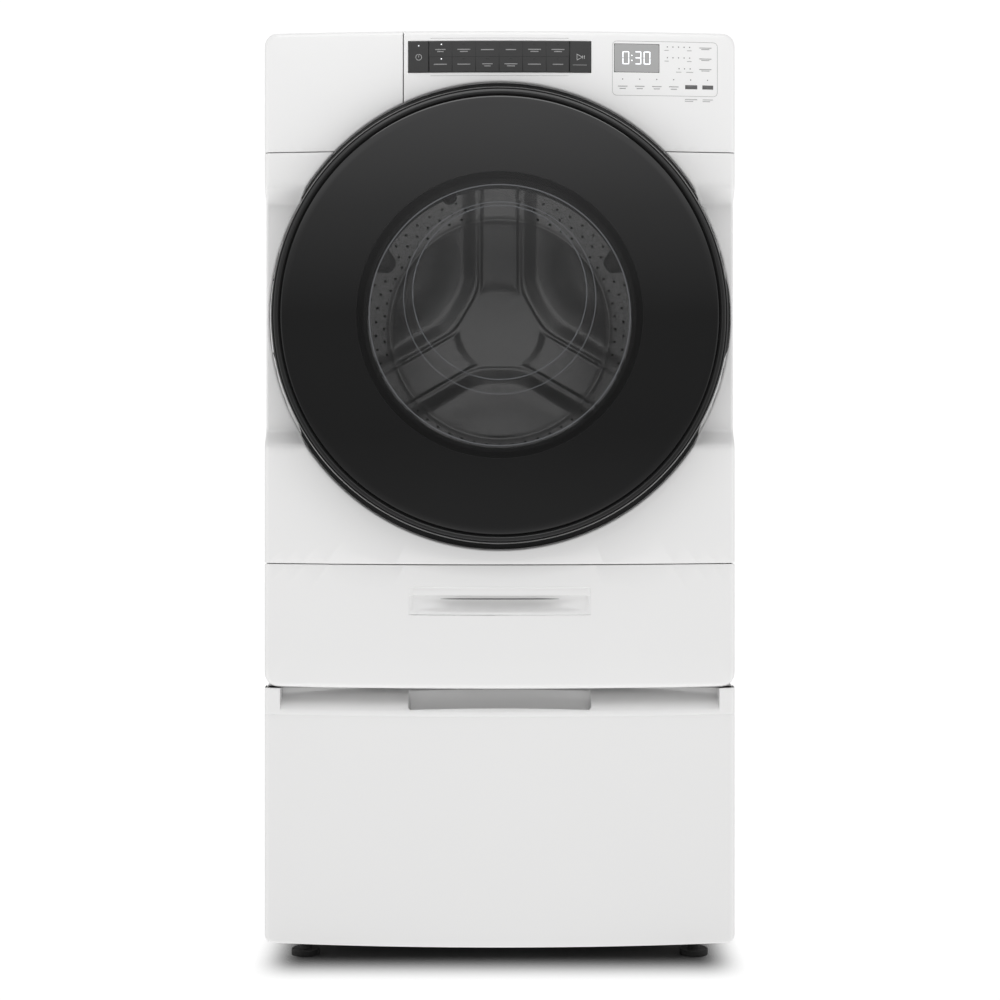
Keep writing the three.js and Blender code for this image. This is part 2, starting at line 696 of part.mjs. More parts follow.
piece(cabinet, 'door_lock', doorLock(), FINISH.blackPlastic);
piece(cabinet, 'hinge_bracket', hingeBracket(), FINISH.galvanised);
piece(cabinet, 'door_surround', doorSurround(), FINISH.blackPlastic);
piece(cabinet, 'door_gasket', doorGasket(), FINISH.greyRubber);
piece(cabinet, 'drain_pump', drainPump(), FINISH.greyPlastic);
piece(cabinet, 'drain_filter_cap', drainFilterCap(), FINISH.blackPlastic);
for (const [word, side] of SIDES) {
  piece(cabinet, `damper_cylinder_${word}`, damperCylinder(side), FINISH.blackPlastic);
}

const tub = new THREE.Group();
piece(tub, 'tub_front', tubFront(), FINISH.greyPlastic);
piece(tub, 'tub_rear', tubRear(), FINISH.greyPlastic);
piece(tub, 'counterweight', counterweight(), FINISH.concrete);
piece(tub, 'heater', heater(), FINISH.stainless);
piece(tub, 'drum_bearing', drumBearing(), FINISH.springSteel);
piece(tub, 'motor_stator', motorStator(), FINISH.castAluminium);
for (const [word, side] of SIDES) {
  piece(tub, `suspension_spring_${word}`, suspensionSpring(side), FINISH.springSteel);
  piece(tub, `damper_rod_${word}`, damperRod(side), FINISH.springSteel);
}

const spinner = new THREE.Group();
piece(spinner, 'drum', drum(), FINISH.stainless);
piece(spinner, 'drum_spider', drumSpider(), FINISH.castAluminium);
piece(spinner, 'motor_rotor', motorRotor(), FINISH.galvanised);
[0, 120, 240].forEach((degrees, i) => {
  piece(spinner, `lifter_${i + 1}`, lifter(degrees), FINISH.greyPlastic);
});
tub.add(spinner);

const door = new THREE.Group();
piece(door, 'door_rim', doorRim(), FINISH.blackGloss);
piece(door, 'door_face', doorFace(), FINISH.tintedFace);
piece(door, 'door_inner_frame', doorInnerFrame(), FINISH.blackPlastic);
piece(door, 'door_bowl', doorBowl(), FINISH.clearBowl);
piece(door, 'door_hinge_arm', doorHingeArm(), FINISH.castAluminium);
piece(door, 'door_latch_hook', doorLatchHook(), FINISH.stainless);

const dispenser = new THREE.Group();
piece(dispenser, 'dispenser_front', dispenserFront(), FINISH.whitePlastic);
piece(dispenser, 'dispenser_tray', dispenserTray(), FINISH.greyPlastic);

const keys = new THREE.Group();
piece(keys, 'power_key', stripPiece(-STRIP_HALF, POWER_SPLIT - 0.3), FINISH.blackGloss);
piece(keys, 'start_key', stripPiece(START_SPLIT + 0.3, STRIP_HALF), FINISH.blackGloss);

const servicePanel = new THREE.Group();
piece(servicePanel, 'lower_front_panel', lowerFrontPanel(), FINISH.whitePaint);

const pedestal = new THREE.Group();
piece(pedestal, 'pedestal_frame', pedestalFrame(), FINISH.whitePaint);
[[-1, 80], [1, 80], [-1, 640], [1, 640]].forEach(([side, y], i) => {
  piece(pedestal, `pedestal_foot_${i + 1}`, pedestalFoot(side * 290, y), FINISH.blackRubber);
});
for (const [word, side] of SIDES) {
  piece(pedestal, `slide_outer_${word}`, slideOuter(side), FINISH.galvanised);
  piece(pedestal, `slide_middle_${word}`, slideMiddle(side), FINISH.galvanised);
}
piece(pedestal, 'pedestal_drawer_box', pedestalDrawerBox(), FINISH.galvanised);
piece(pedestal, 'pedestal_drawer_front', pedestalDrawerFront(), FINISH.whitePaint);

const machine = new THREE.Group();
machine.add(cabinet, tub, door, dispenser, keys, servicePanel, pedestal);
machine.position.y = -(FACE_CENTRE + VALVE_END) / 2; // the origin is the middle of the footprint

export default machine;
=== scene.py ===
# %% [markdown]
# # A front load washing machine on its pedestal
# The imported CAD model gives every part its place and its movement. This lesson gives the parts
# their looks: bowed enamel panels, a tinted round door, a black key strip and a lit drum.
# All lengths are in metres. The front looks towards -Y.

# %% Load the frame
import json
import math

import bmesh
import bpy
from mathutils import Matrix, Vector

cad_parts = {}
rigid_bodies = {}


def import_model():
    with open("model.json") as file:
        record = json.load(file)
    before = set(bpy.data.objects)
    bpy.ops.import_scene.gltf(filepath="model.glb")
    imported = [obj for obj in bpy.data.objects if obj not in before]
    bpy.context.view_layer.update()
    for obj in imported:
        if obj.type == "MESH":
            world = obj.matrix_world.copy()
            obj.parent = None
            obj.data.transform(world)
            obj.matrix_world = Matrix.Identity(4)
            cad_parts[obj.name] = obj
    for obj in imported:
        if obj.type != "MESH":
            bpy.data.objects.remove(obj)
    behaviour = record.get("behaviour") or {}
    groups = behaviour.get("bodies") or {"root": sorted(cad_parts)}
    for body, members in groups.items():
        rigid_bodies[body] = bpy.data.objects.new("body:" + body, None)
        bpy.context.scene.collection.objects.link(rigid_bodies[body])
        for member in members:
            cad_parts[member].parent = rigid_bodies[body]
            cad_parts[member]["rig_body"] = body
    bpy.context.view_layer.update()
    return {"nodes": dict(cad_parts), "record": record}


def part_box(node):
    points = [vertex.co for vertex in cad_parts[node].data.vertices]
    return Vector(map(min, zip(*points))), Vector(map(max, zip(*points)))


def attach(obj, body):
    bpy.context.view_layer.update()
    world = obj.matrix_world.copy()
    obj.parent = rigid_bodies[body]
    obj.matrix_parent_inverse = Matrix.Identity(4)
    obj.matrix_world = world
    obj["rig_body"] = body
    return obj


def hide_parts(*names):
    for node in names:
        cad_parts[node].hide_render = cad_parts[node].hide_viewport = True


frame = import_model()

scene = bpy.context.scene

# %% [markdown]
# The driving sizes come from the frame where a CAD part shows them, so that the new surfaces land
# exactly on the old ones. The front is bowed in plan: its middle stands 28 mm proud of its edges,
# which is an arc of about two metres radius.

# %% Driving sizes
MM = 0.001
front_low, front_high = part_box("front_panel")
console_low, console_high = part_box("console_panel")
lower_low, lower_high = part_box("lower_front_panel")
rim_low, rim_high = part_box("door_rim")
HALF = front_high.x
BULGE = 28 * MM
EDGE_Y = front_low.y + BULGE  # the plane of the front's side edges
BOW = (HALF**2 + BULGE**2) / (2 * BULGE)
RETURN_Y = front_high.y
TOP_Z = console_high.z
BOTTOM_Z = lower_low.z
DOOR_Z = (rim_low.z + rim_high.z) / 2
RIM_RADIUS = rim_high.x
DISH_RADIUS = 337.5 * MM
LOW_SEAM = lower_high.z + 1 * MM
TOP_SEAM = console_low.z - 1 * MM
SPLIT_X = console_low.x - 1 * MM
EDGE_ROLL = 8 * MM
print("front plane", round(EDGE_Y, 4), "door centre", round(DOOR_Z, 4), "bow", round(BOW, 3))

# %% [markdown]
# Every shell on the front follows one surface. `bow_y` is its plan arc. `waist` is 1 in the hollow
# beside the door, where the panel steps back so that fingers can reach behind the rim, and 0
# elsewhere, with a soft ramp in between. `front_y` puts the two together and rolls the outer edge.


# %% The bowed surface
WAIST_FLOOR = EDGE_Y + 26 * MM
WAIST_HALF = 163 * MM
WAIST_RAMP = 28 * MM
WAIST_INNER = 280 * MM


def bow_y(x, inset=0.0):
    return EDGE_Y + BOW - BULGE - math.sqrt((BOW - inset) ** 2 - x * x)


def soft(t):
    t = min(max(t, 0.0), 1.0)
    return t * t * (3 - 2 * t)


def waist(x, z):
    high = soft((WAIST_HALF + WAIST_RAMP - abs(z - DOOR_Z)) / WAIST_RAMP)
    return high * soft((abs(x) - WAIST_INNER + 10 * MM) / (10 * MM))


def front_y(x, z, edge=1.0):
    """The front surface at x and z. edge is the distance to the outline of the panels."""
    hollow = waist(x, z)
    surface = bow_y(x) * (1 - hollow) + WAIST_FLOOR * hollow
    roll = EDGE_ROLL * (1 - 0.6 * hollow)
    if edge < roll:
        surface += roll - math.sqrt(max(roll**2 - (roll - edge) ** 2, 0))
    return min(surface, RETURN_Y - 0.5 * MM)


print("door side edge", round(front_y(0, DOOR_Z), 4), "waist floor", round(WAIST_FLOOR, 4))

# %% [markdown]
# Finishes come next. Real enamel is never perfectly flat: it has a fine orange peel, and its gloss
# wanders a little from place to place. One node group makes both, and each material sets how
# coarse and how strong they are. A second group makes brushed lines, and a third the spangle of
# zinc coated sheet.


# %% Node group helpers
def new_group(name, inputs, outputs):
    group = bpy.data.node_groups.new(name, "ShaderNodeTree")
    for label, value in inputs:
        socket = group.interface.new_socket(label, in_out="INPUT", socket_type="NodeSocketFloat")
        socket.default_value = value
    for label in outputs:
        group.interface.new_socket(label, in_out="OUTPUT", socket_type="NodeSocketFloat")
    start = group.nodes.new("NodeGroupInput")
    end = group.nodes.new("NodeGroupOutput")
    return group, start, end


def math_node(tree, operation, a, b):
    node = tree.nodes.new("ShaderNodeMath")
    node.operation = operation
    for socket, value in ((node.inputs[0], a), (node.inputs[1], b)):
        if isinstance(value, (int, float)):
            socket.default_value = value
        else:
            tree.links.new(value, socket)
    return node.outputs[0]


def noise_node(tree, coordinate, scale, detail=3.0):
    node = tree.nodes.new("ShaderNodeTexNoise")
    node.inputs["Detail"].default_value = detail
    tree.links.new(coordinate, node.inputs["Vector"])
    if isinstance(scale, (int, float)):
        node.inputs["Scale"].default_value = scale
    else:
        tree.links.new(scale, node.inputs["Scale"])
    return node.outputs["Fac"]


def rough_between(group, start, mask):
    """Roughness that follows a mask from Rough Low to Rough High."""
    low, high = start.outputs["Rough Low"], start.outputs["Rough High"]
    spread = math_node(group, "SUBTRACT", high, low)
    return math_node(group, "ADD", low, math_node(group, "MULTIPLY", mask, spread))


def link_outputs(group, end, height, rough, patch):
    group.links.new(height, end.inputs["Height"])
    group.links.new(rough, end.inputs["Roughness"])
    group.links.new(patch, end.inputs["Patch"])


# %% Group: coat, a fine peel and slow patches
def make_coat_group():
    group, start, end = new_group(
        "coat",
        [("Peel Scale", 600.0), ("Patch Scale", 6.0), ("Rough Low", 0.3), ("Rough High", 0.4)],
        ["Height", "Roughness", "Patch"],
    )
    place = group.nodes.new("ShaderNodeTexCoord").outputs["Object"]
    peel = noise_node(group, place, start.outputs["Peel Scale"], 2.0)
    patch = noise_node(group, place, start.outputs["Patch Scale"], 4.0)
    link_outputs(group, end, peel, rough_between(group, start, patch), patch)
    return group


# %% Group: brushed lines, noise stretched along one axis
def make_brush_group():
    group, start, end = new_group(
        "brush",
        [("Across", 900.0), ("Rough Low", 0.22), ("Rough High", 0.4)],
        ["Height", "Roughness", "Patch"],
    )
    place = group.nodes.new("ShaderNodeTexCoord").outputs["Object"]
    stretch = group.nodes.new("ShaderNodeMapping")
    stretch.inputs["Scale"].default_value = (0.03, 1.0, 0.03)
    group.links.new(place, stretch.inputs["Vector"])
    lines = noise_node(group, stretch.outputs["Vector"], start.outputs["Across"], 3.0)
    link_outputs(group, end, lines, rough_between(group, start, lines), lines)
    return group


# %% Group: zinc spangle, flat crystals of slightly different gloss
def make_spangle_group():
    group, start, end = new_group(
        "spangle",
        [("Crystal Scale", 90.0), ("Rough Low", 0.35), ("Rough High", 0.55)],
        ["Height", "Roughness", "Patch"],
    )
    place = group.nodes.new("ShaderNodeTexCoord").outputs["Object"]
    cells = group.nodes.new("ShaderNodeTexVoronoi")
    group.links.new(place, cells.inputs["Vector"])
    group.links.new(start.outputs["Crystal Scale"], cells.inputs["Scale"])
    crystal = group.nodes.new("ShaderNodeRGBToBW")
    group.links.new(cells.outputs["Color"], crystal.inputs["Color"])
    tone = crystal.outputs["Val"]
    link_outputs(group, end, tone, rough_between(group, start, tone), tone)
    return group


GROUPS = {"coat": make_coat_group(), "brush": make_brush_group(), "spangle": make_spangle_group()}
print("node groups:", sorted(GROUPS))

# %% [markdown]
# A material is one Principled shader. Its group feeds the bump, the roughness and a small change
# of colour between a light and a dark tone. What is the same all over, such as the metalness or
# the strength of a clear coat, is set on the shader itself.


# %% Material helper
def finish(name, pattern, light, dark, bump=0.0, values=None, settings=None):
    material = bpy.data.materials.new(name)
    material.use_nodes = True
    tree = material.node_tree
    shader = tree.nodes["Principled BSDF"]
    group = tree.nodes.new("ShaderNodeGroup")
    group.node_tree = GROUPS[pattern]
    for label, value in (values or {}).items():
        group.inputs[label].default_value = value
    tones = tree.nodes.new("ShaderNodeMix")
    tones.data_type = "RGBA"
    tones.inputs["A"].default_value = (*dark, 1)
    tones.inputs["B"].default_value = (*light, 1)
    tree.links.new(group.outputs["Patch"], tones.inputs["Factor"])
    tree.links.new(tones.outputs["Result"], shader.inputs["Base Color"])
    tree.links.new(group.outputs["Roughness"], shader.inputs["Roughness"])
    if bump:
        relief = tree.nodes.new("ShaderNodeBump")
        relief.inputs["Strength"].default_value = bump
        relief.inputs["Distance"].default_value = 0.1 * MM
        tree.links.new(group.outputs["Height"], relief.inputs["Height"])
        tree.links.new(relief.outputs["Normal"], shader.inputs["Normal"])
    for label, value in (settings or {}).items():
        shader.inputs[label].default_value = value
    return material


def grey(value, warm=0.0):
    return (value * (1 + warm), value, value * (1 - warm))


# %% The finishes of this machine
def coat_values(peel, low, high, patch=6.0):
    return {"Peel Scale": peel, "Patch Scale": patch, "Rough Low": low, "Rough High": high}


METAL = {"Metallic": 1.0}
LOOKS = {
    "white_paint": finish(
        "white enamel", "coat", grey(0.803, 0.003), grey(0.793, 0.003), 0.08,
        coat_values(700, 0.31, 0.35), {"Coat Weight": 0.2, "Coat Roughness": 0.2},
    ),
    "white_plastic": finish(
        "white gloss moulding", "coat", grey(0.812, 0.002), grey(0.804, 0.002), 0.05,
        coat_values(900, 0.28, 0.32), {"Coat Weight": 0.2, "Coat Roughness": 0.18},
    ),
    "grey_plastic": finish(
        "grey moulding", "coat", grey(0.34), grey(0.30), 0.5, coat_values(1500, 0.45, 0.6),
    ),
    "black_plastic": finish(
        "black moulding", "coat", grey(0.014), grey(0.009), 0.5, coat_values(1500, 0.38, 0.52),
    ),
    "black_gloss": finish(
        "black gloss lacquer", "coat", grey(0.012), grey(0.009), 0.03,
        coat_values(400, 0.26, 0.34), {"Coat Weight": 0.25, "Coat Roughness": 0.12},
    ),
    "grey_rubber": finish(
        "grey rubber", "coat", grey(0.12), grey(0.09), 0.8, coat_values(1200, 0.6, 0.78),
    ),
    "black_rubber": finish(
        "black rubber", "coat", grey(0.02), grey(0.014), 0.8, coat_values(1200, 0.65, 0.85),
    ),
    "concrete": finish(
        "cast concrete", "coat", grey(0.33, 0.03), grey(0.2, 0.03), 1.0,
        coat_values(260, 0.85, 0.95, 180),
    ),
    "board_green": finish(
        "circuit board", "coat", (0.012, 0.09, 0.035), (0.008, 0.06, 0.022), 0.6,
        coat_values(900, 0.3, 0.5, 160),
    ),
    "stainless": finish(
        "brushed stainless", "brush", grey(0.6), grey(0.54), 0.12,
        {"Across": 1100.0, "Rough Low": 0.26, "Rough High": 0.36}, METAL,
    ),
    "spring_steel": finish(
        "oiled spring steel", "brush", grey(0.24), grey(0.16), 0.2,
        {"Across": 800.0, "Rough Low": 0.28, "Rough High": 0.42}, METAL,
    ),
    "galvanised": finish(
        "zinc coated sheet", "spangle", grey(0.58), grey(0.46), 0.15,
        {"Crystal Scale": 90.0, "Rough Low": 0.34, "Rough High": 0.52}, METAL,
    ),
    "cast_aluminium": finish(
        "cast aluminium", "coat", grey(0.56), grey(0.46), 1.0, coat_values(500, 0.42, 0.6), METAL,
    ),
}
print("finishes:", len(LOOKS))

# %% [markdown]
# The door's outer cover is smoke tinted plastic: nearly black where it is painted from behind, and
# see-through over the window. Its own distance from the door's centre decides which, so the window
# edge is a clean circle on any mesh. The bowl behind is thick clear glass, which looks clear face
# on and bright at grazing angles; Layer Weight gives that.

# %% Tinted cover
WINDOW_RADIUS = 205 * MM


def tinted_cover():
    material = finish(
        "tinted cover", "coat", grey(0.010), grey(0.008), 0.0, coat_values(300, 0.03, 0.06),
        {"IOR": 1.5, "Coat Weight": 0.6, "Coat Roughness": 0.02},
    )
    tree = material.node_tree
    place = tree.nodes.new("ShaderNodeTexCoord")
    centre = tree.nodes.new("ShaderNodeMapping")
    centre.inputs["Location"].default_value = (0, 0, -DOOR_Z)
    flat = tree.nodes.new("ShaderNodeVectorMath")
    flat.operation = "MULTIPLY"
    flat.inputs[1].default_value = (1, 0, 1)
    length = tree.nodes.new("ShaderNodeVectorMath")
    length.operation = "LENGTH"
    tree.links.new(place.outputs["Object"], centre.inputs["Vector"])
    tree.links.new(centre.outputs["Vector"], flat.inputs[0])
    tree.links.new(flat.outputs["Vector"], length.inputs[0])
    edge = tree.nodes.new("ShaderNodeMapRange")
    edge.inputs["From Min"].default_value = WINDOW_RADIUS - 1.5 * MM
    edge.inputs["From Max"].default_value = WINDOW_RADIUS
    edge.inputs["To Min"].default_value = 0.52
    edge.inputs["To Max"].default_value = 1.0
    tree.links.new(length.outputs["Value"], edge.inputs["Value"])
    tree.links.new(edge.outputs["Result"], tree.nodes["Principled BSDF"].inputs["Alpha"])
    return material


LOOKS["tinted_face"] = tinted_cover()


# %% Clear glass of the bowl
def clear_bowl():
    material = finish(
        "bowl glass", "coat", grey(0.50), grey(0.44), 0.0, coat_values(60, 0.02, 0.05),
        {"IOR": 1.5, "Coat Weight": 0.4, "Coat Roughness": 0.02},
    )
    tree = material.node_tree
    facing = tree.nodes.new("ShaderNodeLayerWeight")
    facing.inputs["Blend"].default_value = 0.35
    opacity = tree.nodes.new("ShaderNodeMapRange")
    opacity.inputs["To Min"].default_value = 0.03
    opacity.inputs["To Max"].default_value = 0.2
    tree.links.new(facing.outputs["Facing"], opacity.inputs["Value"])
    tree.links.new(opacity.outputs["Result"], tree.nodes["Principled BSDF"].inputs["Alpha"])
    return material


LOOKS["clear_bowl"] = clear_bowl()


# %% Lit and printed marks
def lamp(name, colour, strength):
    material = finish(name, "coat", colour, colour, 0.0, coat_values(800, 0.3, 0.4))
    shader = material.node_tree.nodes["Principled BSDF"]
    shader.inputs["Emission Color"].default_value = (*colour, 1)
    shader.inputs["Emission Strength"].default_value = strength
    return material


LOOKS["frame_black"] = finish(
    "frame moulding", "coat", grey(0.12), grey(0.105), 0.3, coat_values(1500, 0.45, 0.6),
)
LOOKS["bead"] = finish(
    "window bead", "coat", grey(0.10), grey(0.08), 0.0, coat_values(800, 0.2, 0.3),
)
# Glass edge: a faint glow on the bowl's beads, a painted highlight where the glass turns.
LOOKS["glowing_glass_edge"] = finish(
    "glass edge painted highlight", "coat", grey(0.42), grey(0.36), 0.0, coat_values(800, 0.2, 0.3),
    {"Alpha": 0.8, "Emission Color": (0.9, 0.93, 1.0, 1.0), "Emission Strength": 0.42},
)
LOOKS["strip_face"] = finish(
    "key strip face", "coat", grey(0.042), grey(0.036), 0.0,
    coat_values(400, 0.25, 0.35), {"Coat Weight": 0.4, "Coat Roughness": 0.1},
)
LOOKS["strip_line"] = finish(
    "key divider", "coat", grey(0.016), grey(0.012), 0.0, coat_values(800, 0.4, 0.5)
)
LOOKS["lit"] = lamp("lit display segment", (0.95, 0.97, 1.0), 0.9)
LOOKS["print_grey"] = finish(
    "grey print", "coat", grey(0.34), grey(0.31), 0.0, coat_values(800, 0.4, 0.5)
)
LOOKS["print_bright"] = finish(
    "bright print", "coat", grey(0.55), grey(0.52), 0.0, coat_values(800, 0.4, 0.5)
)
LOOKS["print_dark"] = finish(
    "dark print", "coat", grey(0.13), grey(0.11), 0.0, coat_values(800, 0.4, 0.5)
)
LOOKS["print_pale"] = finish(
    "pale print", "coat", grey(0.28), grey(0.26), 0.0, coat_values(800, 0.3, 0.4)
)
LOOKS["display_grey"] = finish(
    "display window", "coat", grey(0.40), grey(0.37), 0.0, coat_values(300, 0.12, 0.2),
    {"Coat Weight": 0.5, "Coat Roughness": 0.05},
)
print("materials:", len(bpy.data.materials))

# %% [markdown]
# Small helpers turn a finished bmesh into a piece that rides on its body. Smooth shading with
# sharp edges above an angle keeps rounded forms soft and folded edges crisp.


# %% Piece helpers
def piece(name, bm, body, look, slot=None, replaces=(), sharp=40):
    mesh = bpy.data.meshes.new(name)
    bm.to_mesh(mesh)
    bm.free()
    mesh.materials.append(LOOKS[look])
    for polygon in mesh.polygons:
        polygon.use_smooth = True
    mesh.set_sharp_from_angle(angle=math.radians(sharp))
    made = bpy.data.objects.new(name, mesh)
    scene.collection.objects.link(made)
    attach(made, body)
    slot or look
    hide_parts(*replaces)
    print(f"{name}: {len(mesh.polygons)} faces on {body}")
    return made


def thicken(made, wall):
    shell = made.modifiers.new("wall", "SOLIDIFY")
    shell.thickness = wall
    shell.offset = -1
    shell.use_even_offset = False
    return made


def fillet(points, closed=True, steps=4):
    """Rounds the corners of a profile. Each point is (r, y, radius of its corner)."""
    out = []
    count = len(points)
    for i, (r, y, radius) in enumerate(points):
        if radius == 0 or (not closed and i in (0, count - 1)):
            out.append((r, y))
            continue
        here = Vector((r, y))
        before = Vector(points[i - 1][:2]) - here
        after = Vector(points[(i + 1) % count][:2]) - here
        bend = before.angle(after)
        reach = min(radius / math.tan(bend / 2), before.length * 0.49, after.length * 0.49)
        a = here + before.normalized() * reach
        b = here + after.normalized() * reach
        for k in range(steps + 1):
            t = k / steps
            p = a * (1 - t) ** 2 + here * 2 * t * (1 - t) + b * t**2
            out.append((p.x, p.y))
    return out


def spun(points, steps=144, closed=True, centre=(0, 0)):
    """Turns a profile of radius and depth behind EDGE_Y, in millimetres, about the Y axis."""
    bm = bmesh.new()
    verts = [bm.verts.new((r * MM, y * MM, 0)) for r, y in points]
    pairs = list(zip(verts, verts[1:]))
    if closed:
        pairs.append((verts[-1], verts[0]))
    edges = [bm.edges.new(pair) for pair in pairs]
    bmesh.ops.spin(
        bm, geom=verts + edges, cent=(0, 0, 0), axis=(0, 1, 0), angle=math.tau, steps=steps,
        use_merge=True,
    )
    bmesh.ops.remove_doubles(bm, verts=bm.verts, dist=1e-6)
    bmesh.ops.recalc_face_normals(bm, faces=bm.faces)
    bmesh.ops.translate(bm, verts=bm.verts, vec=(centre[0], EDGE_Y, DOOR_Z + centre[1]))
    return bm


# %% [markdown]
# ## The front panels
# On the real machine the console, the dispenser front and the main panel are three shells that
# meet in fine seams, and a round dish for the door cuts across all of them. Cutting the seams with
# planes through one radial sheet keeps their surfaces in line. The sheet starts as a circle at the
# dish, and every ring that is extruded from it comes closer to the machine's rectangular outline.

# %% Radial sheet around the door
LIP_RADIUS = DISH_RADIUS + 3.5 * MM
SIDES = 720
TOP_CORNER = 18 * MM
LOW_CORNER = 19.5 * MM


def round_corner(x, z, low, high, low_radius, high_radius):
    """Moves a point of a square cornered outline so that the corner becomes round."""
    radius = low_radius if z < (low + high) / 2 else high_radius
    cx = HALF - radius
    cz = low + radius if z < (low + high) / 2 else high - radius
    a = (abs(x) - cx) / radius
    b = (z - cz) / radius if z > (low + high) / 2 else (cz - z) / radius
    if a <= 0 or b <= 0:
        edge = min(HALF - abs(x), z - low, high - z)
        return x, z, edge
    a, b = a * math.sqrt(1 - b * b / 2), b * math.sqrt(1 - a * a / 2)
    edge = radius * (1 - math.hypot(a, b))
    sign = 1 if z > (low + high) / 2 else -1
    return math.copysign(cx + a * radius, x), cz + sign * b * radius, edge


def outline_radius(angle, inset):
    c, s = math.cos(angle), math.sin(angle)
    side = (HALF - inset) / max(abs(c), 1e-9)
    up = (TOP_Z - DOOR_Z - inset) if s > 0 else (DOOR_Z - BOTTOM_Z - inset)
    return min(side, up / max(abs(s), 1e-9))


def extrude_ring(bm, edges, place):
    """Extrudes a ring of edges and puts each new vertex where place(angle) says."""
    out = bmesh.ops.extrude_edge_only(bm, edges=edges)["geom"]
    for vert in (g for g in out if isinstance(g, bmesh.types.BMVert)):
        angle = math.atan2(vert.co.z - DOOR_Z, vert.co.x)
        vert.co = place(angle)
    return [g for g in out if isinstance(g, bmesh.types.BMEdge)]


def front_sheet():
    bm = bmesh.new()
    bmesh.ops.create_circle(bm, cap_ends=False, radius=LIP_RADIUS, segments=SIDES)
    turn = Matrix.Translation((0, 0, DOOR_Z)) @ Matrix.Rotation(math.pi / 2, 4, "X")
    bmesh.ops.transform(bm, matrix=turn, verts=bm.verts)
    edges = list(bm.edges)

    def flat(radius_at):
        def place(angle):
            radius = radius_at(angle)
            return Vector((radius * math.cos(angle), 0, DOOR_Z + radius * math.sin(angle)))
        return place

    def between(share):
        return flat(
            lambda angle: LIP_RADIUS + share * (outline_radius(angle, EDGE_ROLL) - LIP_RADIUS)
            if outline_radius(angle, EDGE_ROLL) > LIP_RADIUS + 1 * MM
            else LIP_RADIUS + 0.5 * MM * share
        )

    for share in (0.06, 0.2, 0.4, 0.6, 0.8, 1.0):
        edges = extrude_ring(bm, edges, between(share))
    for k, inset in enumerate((5.6, 3.4, 1.6, 0.45, 0)):
        edges = extrude_ring(bm, edges, flat(
            lambda angle, inset=inset, k=k: max(
                outline_radius(angle, inset * MM), LIP_RADIUS + (0.6 + 0.1 * k) * MM
            )
        ))
    for vert in bm.verts:
        x, z, edge = round_corner(vert.co.x, vert.co.z, BOTTOM_Z, TOP_Z, LOW_CORNER, TOP_CORNER)
        vert.co = (x, front_y(x, z, max(edge, 0)), z)
    out = bmesh.ops.extrude_edge_only(bm, edges=edges)["geom"]
    for vert in (g for g in out if isinstance(g, bmesh.types.BMVert)):
        vert.co.y = RETURN_Y
    lip = [e for e in bm.edges if e.is_boundary and e.verts[0].co.y < RETURN_Y - 1 * MM]
    for inward, back in ((1.3, 0.25), (1.1, 0.9), (0.6, 1.6), (0.1, 7)):
        out = bmesh.ops.extrude_edge_only(bm, edges=lip)["geom"]
        lip = [g for g in out if isinstance(g, bmesh.types.BMEdge)]
        for vert in (g for g in out if isinstance(g, bmesh.types.BMVert)):
            away = Vector((vert.co.x, 0, vert.co.z - DOOR_Z))
            vert.co -= away.normalized() * inward * MM
            vert.co.y = min(vert.co.y + back * MM, RETURN_Y - 1 * MM)
    face_front(bm)
    return bm


def face_front(bm):
    """Makes the normals of an open front shell agree, and point towards the viewer."""
    bmesh.ops.recalc_face_normals(bm, faces=bm.faces)
    if sum(f.normal.y * f.calc_area() for f in bm.faces) > 0:
        bmesh.ops.reverse_faces(bm, faces=bm.faces)


# %% [markdown]
# A seam edge isn't a knife edge. After each plane cut, the open edge is folded back in three
# short steps, which the smooth shading turns into a small radius, and then runs 14 mm inwards.


# %% Cutting a panel out of the sheet
FOLD = ((0.25, 0.1), (0.3, 0.3), (0.15, 0.5))
FOLD_WIDTH = sum(along for along, back in FOLD) * MM
FOLD_DEPTH = 14 * MM


def fold_edges(bm, edges, direction):
    for along, back in (*FOLD, (0, FOLD_DEPTH / MM)):
        out = bmesh.ops.extrude_edge_only(bm, edges=edges)["geom"]
        edges = [g for g in out if isinstance(g, bmesh.types.BMEdge)]
        for vert in (g for g in out if isinstance(g, bmesh.types.BMVert)):
            vert.co += direction * along * MM
            vert.co.y = min(vert.co.y + back * MM, RETURN_Y)


def trim(bm, axis, limit, side):
    """Cuts away what lies beyond limit on one axis and folds the new edge back."""
    normal = Vector((0, 0, 0))
    normal[axis] = side
    point = Vector((0, 0, 0))
    point[axis] = limit - side * FOLD_WIDTH
    bmesh.ops.bisect_plane(
        bm, geom=bm.verts[:] + bm.edges[:] + bm.faces[:], plane_co=point, plane_no=normal,
        clear_outer=True, dist=1e-6,
    )
    cut = [
        e for e in bm.edges
        if e.is_boundary and all(abs(v.co[axis] - point[axis]) < 2e-6 for v in e.verts)
    ]
    fold_edges(bm, cut, normal)


